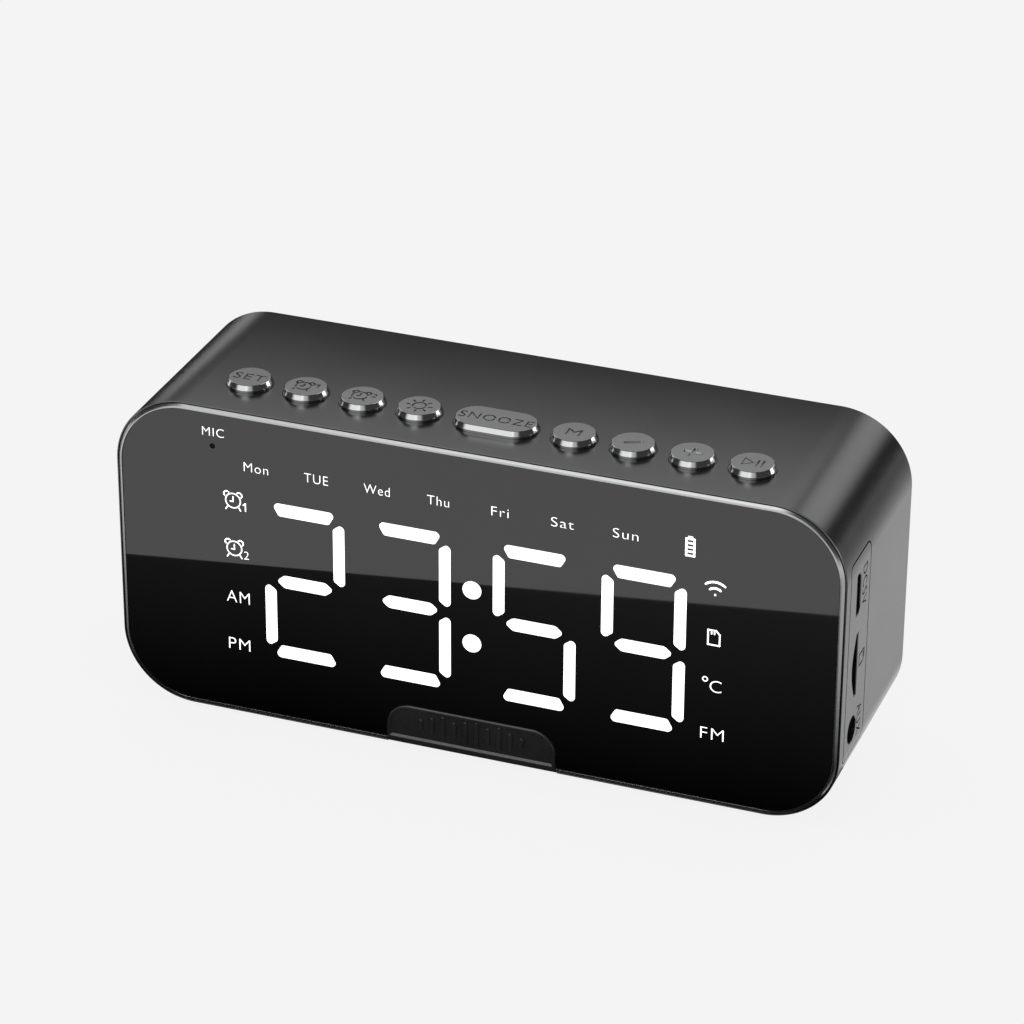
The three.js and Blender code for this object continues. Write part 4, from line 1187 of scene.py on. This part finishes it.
def glow_material(name, colour, strength):
    material = bpy.data.materials.new(name)
    material.use_nodes = True
    nodes = material.node_tree.nodes
    nodes.clear()
    shader = nodes.new("ShaderNodeEmission")
    shader.inputs["Color"].default_value = (*colour, 1.0)
    shader.inputs["Strength"].default_value = strength
    out = nodes.new("ShaderNodeOutputMaterial")
    material.node_tree.links.new(shader.outputs[0], out.inputs[0])
    return material


def floor_material():
    """Pale floor: mostly its own even light, with a little that takes shadows."""
    material = glow_material("pale_floor", (1.0, 1.0, 1.0), FLOOR_GLOW)
    nodes, links = material.node_tree.nodes, material.node_tree.links
    diffuse = nodes.new("ShaderNodeBsdfDiffuse")
    diffuse.inputs["Color"].default_value = (FLOOR_WHITE, FLOOR_WHITE, FLOOR_WHITE, 1.0)
    add = nodes.new("ShaderNodeAddShader")
    links.new(nodes["Emission"].outputs[0], add.inputs[0])
    links.new(diffuse.outputs[0], add.inputs[1])
    links.new(add.outputs[0], nodes["Material Output"].inputs[0])
    return material


def rectangle(x0, y0, x1, y1):
    return (x0, y0), (x1, y0), (x1, y1), (x0, y1)


def flat(corners, level):
    return [(x, y, level) for x, y in corners]


def card(name, corners, near, far, start, end, along):
    """A studio card that only polished surfaces see.

    Its light runs from near to far between two distances along a direction."""
    material = glow_material(name, (1.0, 1.0, 1.0), 1.0)
    nodes, links = material.node_tree.nodes, material.node_tree.links
    place = nodes.new("ShaderNodeTexCoord")
    reach = nodes.new("ShaderNodeVectorMath")
    reach.operation = "DOT_PRODUCT"
    reach.inputs[1].default_value = along
    fall = nodes.new("ShaderNodeMapRange")
    for socket, value in (("From Min", start), ("From Max", end), ("To Min", near), ("To Max", far)):
        fall.inputs[socket].default_value = value
    links.new(place.outputs["Object"], reach.inputs[0])
    links.new(reach.outputs["Value"], fall.inputs["Value"])
    links.new(fall.outputs[0], nodes["Emission"].inputs["Strength"])
    obj = plane(name, corners, material)
    for ray in ("visible_camera", "visible_diffuse", "visible_transmission", "visible_shadow"):
        setattr(obj, ray, False)


ACROSS = (1.0, 0.0, 0.0)
BACK = (0.0, 1.0, 0.0)
NEARLY_UP = (0.05, 0.0, 1.0)
CARD_LEVEL = 0.0004
# Cards just above the floor: share of the level, corners, then the light from near to far
# between two distances along a direction.
FLOOR_CARDS = {
    "front_card": (1.0, (
        (-0.0715, 0.0), (-0.0715, -0.0225), (-0.0955, -0.0705), (0.0705, -0.1018), (0.0705, 0.0),
    ), 0.13, 0.0, -0.10, -0.02, BACK),
    "left_front_card": (0.5, rectangle(-0.25, -0.062, -0.07, 0.0), 0.8, 0.0, -0.16, -0.075, ACROSS),
    "left_card": (1.0, rectangle(-0.9, 0.0, -0.074, 1.5), 0.02, 0.03, 0.0, 1.0, BACK),
    "right_front_card": (1.0, rectangle(0.0705, -0.14, 0.25, -0.021), 0.0, 0.6, 0.09, 0.13, ACROSS),
    "right_card": (1.0, rectangle(0.071, -0.021, 0.0925, 0.8), 0.66, 0.76, 0.071, 0.0925, ACROSS),
    "middle_right_card": (1.0, rectangle(0.0925, -0.021, 0.16, 3.0), 0.76, 0.33, 0.0925, 0.16, ACROSS),
    "far_right_card": (1.0, rectangle(0.16, -0.021, 2.0, 3.0), 0.33, 0.16, 0.16, 0.33, ACROSS),
}
REAR_CARD_Y = 0.075

# Softboxes round the clock: the way to the middle, inner and outer half angle, strength.
SOFTBOXES = (
    ((0.28, 0.83, 0.47), 3, 18, 1.2),
    ((-0.53, 0.83, 0.15), 2, 9, 0.9),
    ((-0.93, 0.33, 0.12), 8, 16, 4.0),
    ((0.81, 0.57, 0.12), 6, 12, 4.5),
    ((-0.20, -0.40, 0.89), 6, 18, 2.4),
    ((-0.30, -0.85, 0.44), 14, 34, 1.25),
    ((0.26, -0.86, 0.44), 6, 20, 0.6),
)


def world_light():
    """Pale all round, but polished surfaces see softboxes against a dim studio."""
    world = bpy.data.worlds.new("studio")
    bpy.context.scene.world = world
    world.use_nodes = True
    nodes, links = world.node_tree.nodes, world.node_tree.links
    nodes.clear()
    out = nodes.new("ShaderNodeOutputWorld")
    background = nodes.new("ShaderNodeBackground")
    links.new(background.outputs[0], out.inputs[0])
    way = nodes.new("ShaderNodeTexCoord").outputs["Generated"]
    total = None
    for heading, inner, outer, strength in SOFTBOXES:
        dot = nodes.new("ShaderNodeVectorMath")
        dot.operation = "DOT_PRODUCT"
        dot.inputs[1].default_value = Vector(heading).normalized()
        links.new(way, dot.inputs[0])
        fall = nodes.new("ShaderNodeMapRange")
        fall.interpolation_type = "SMOOTHSTEP"
        edges = (math.cos(math.radians(outer)), math.cos(math.radians(inner)))
        for socket, value in zip(("From Min", "From Max", "To Min", "To Max"), (*edges, 0.0, strength)):
            fall.inputs[socket].default_value = value
        links.new(dot.outputs["Value"], fall.inputs["Value"])
        add = nodes.new("ShaderNodeMath")
        add.inputs[0].default_value = DIM_STUDIO
        if total is not None:
            links.new(total, add.inputs[0])
        links.new(fall.outputs[0], add.inputs[1])
        total = add.outputs[0]
    path = nodes.new("ShaderNodeLightPath")
    choose = nodes.new("ShaderNodeMix")
    choose.data_type = "FLOAT"
    # inputs 2 and 3 are the two numbers that it chooses from
    choose.inputs[2].default_value = PALE
    links.new(path.outputs["Is Glossy Ray"], choose.inputs[0])
    links.new(total, choose.inputs[3])
    links.new(choose.outputs[0], background.inputs["Strength"])


class CLOCK_OT_stage(bpy.types.Operator):
    """Pale floor, soft light and the camera"""

    bl_idname = "clock.stage"
    bl_label = "Stage"

    def execute(self, context):
        corners = rectangle(-FLOOR_REACH, -FLOOR_REACH, FLOOR_REACH, FLOOR_REACH)
        plane("floor", flat(corners, 0), floor_material())
        for name, (share, corners, *light) in FLOOR_CARDS.items():
            card(name, flat(corners, share * CARD_LEVEL), *light)
        corners = [(x, REAR_CARD_Y, z) for x, z in rectangle(-0.3, 0.082, 0.062, 0.3)]
        card("rear_card", corners, 0.07, 0.7, 0.0905, 0.1205, NEARLY_UP)
        world_light()
        context.scene.view_settings.view_transform = "Standard"
        self.camera(context)
        return {"FINISHED"}

    def camera(self, context):
        data = bpy.data.cameras.new("view")
        data.lens = 146.09
        data.sensor_width = 36.0
        camera = bpy.data.objects.new("view", data)
        context.scene.collection.objects.link(camera)
        right = Vector((0.936627, 0.350295, 0.004784))
        ahead = Vector((-0.308211, 0.830440, -0.464086))
        up = right.cross(ahead)
        eye = Vector((0.235759, -0.634880, 0.396629))
        camera.matrix_world = Matrix((
            (right.x, up.x, -ahead.x, eye.x),
            (right.y, up.y, -ahead.y, eye.y),
            (right.z, up.z, -ahead.z, eye.z),
            (0, 0, 0, 1),
        ))
        data.clip_start, data.clip_end = 0.01, 100.0
        context.scene.camera = camera


class CLOCK_PT_panel(bpy.types.Panel):
    """Buttons that build the clock, and its sizes and colours"""

    bl_idname = "CLOCK_PT_panel"
    bl_label = "Alarm clock"
    bl_space_type = "VIEW_3D"
    bl_region_type = "UI"
    bl_category = "Clock"

    def draw(self, context):
        layout = self.layout
        for group in (context.scene.clock_sizes, context.scene.clock_colours):
            box = layout.box()
            for name in group.__annotations__:
                box.prop(group, name)
        for operator in BUILD_ORDER:
            layout.operator(operator.bl_idname)


BUILD_ORDER = (
    CLOCK_OT_stage,
    CLOCK_OT_sleeve,
    CLOCK_OT_front,
    CLOCK_OT_display,
    CLOCK_OT_keys,
    CLOCK_OT_ports,
    CLOCK_OT_strap,
    CLOCK_OT_back,
    CLOCK_OT_inside,
)
CLASSES = (ClockSizes, ClockColours, *BUILD_ORDER, CLOCK_PT_panel)


def register():
    for cls in CLASSES:
        bpy.utils.register_class(cls)
    bpy.types.Scene.clock_sizes = bpy.props.PointerProperty(type=ClockSizes)
    bpy.types.Scene.clock_colours = bpy.props.PointerProperty(type=ClockColours)


def unregister():
    del bpy.types.Scene.clock_colours
    del bpy.types.Scene.clock_sizes
    for cls in reversed(CLASSES):
        bpy.utils.unregister_class(cls)


def main():
    register()
    make_materials()
    for operator in BUILD_ORDER:
        area, name = operator.bl_idname.split(".")
        getattr(getattr(bpy.ops, area), name)()


if __name__ == "__main__":
    main()
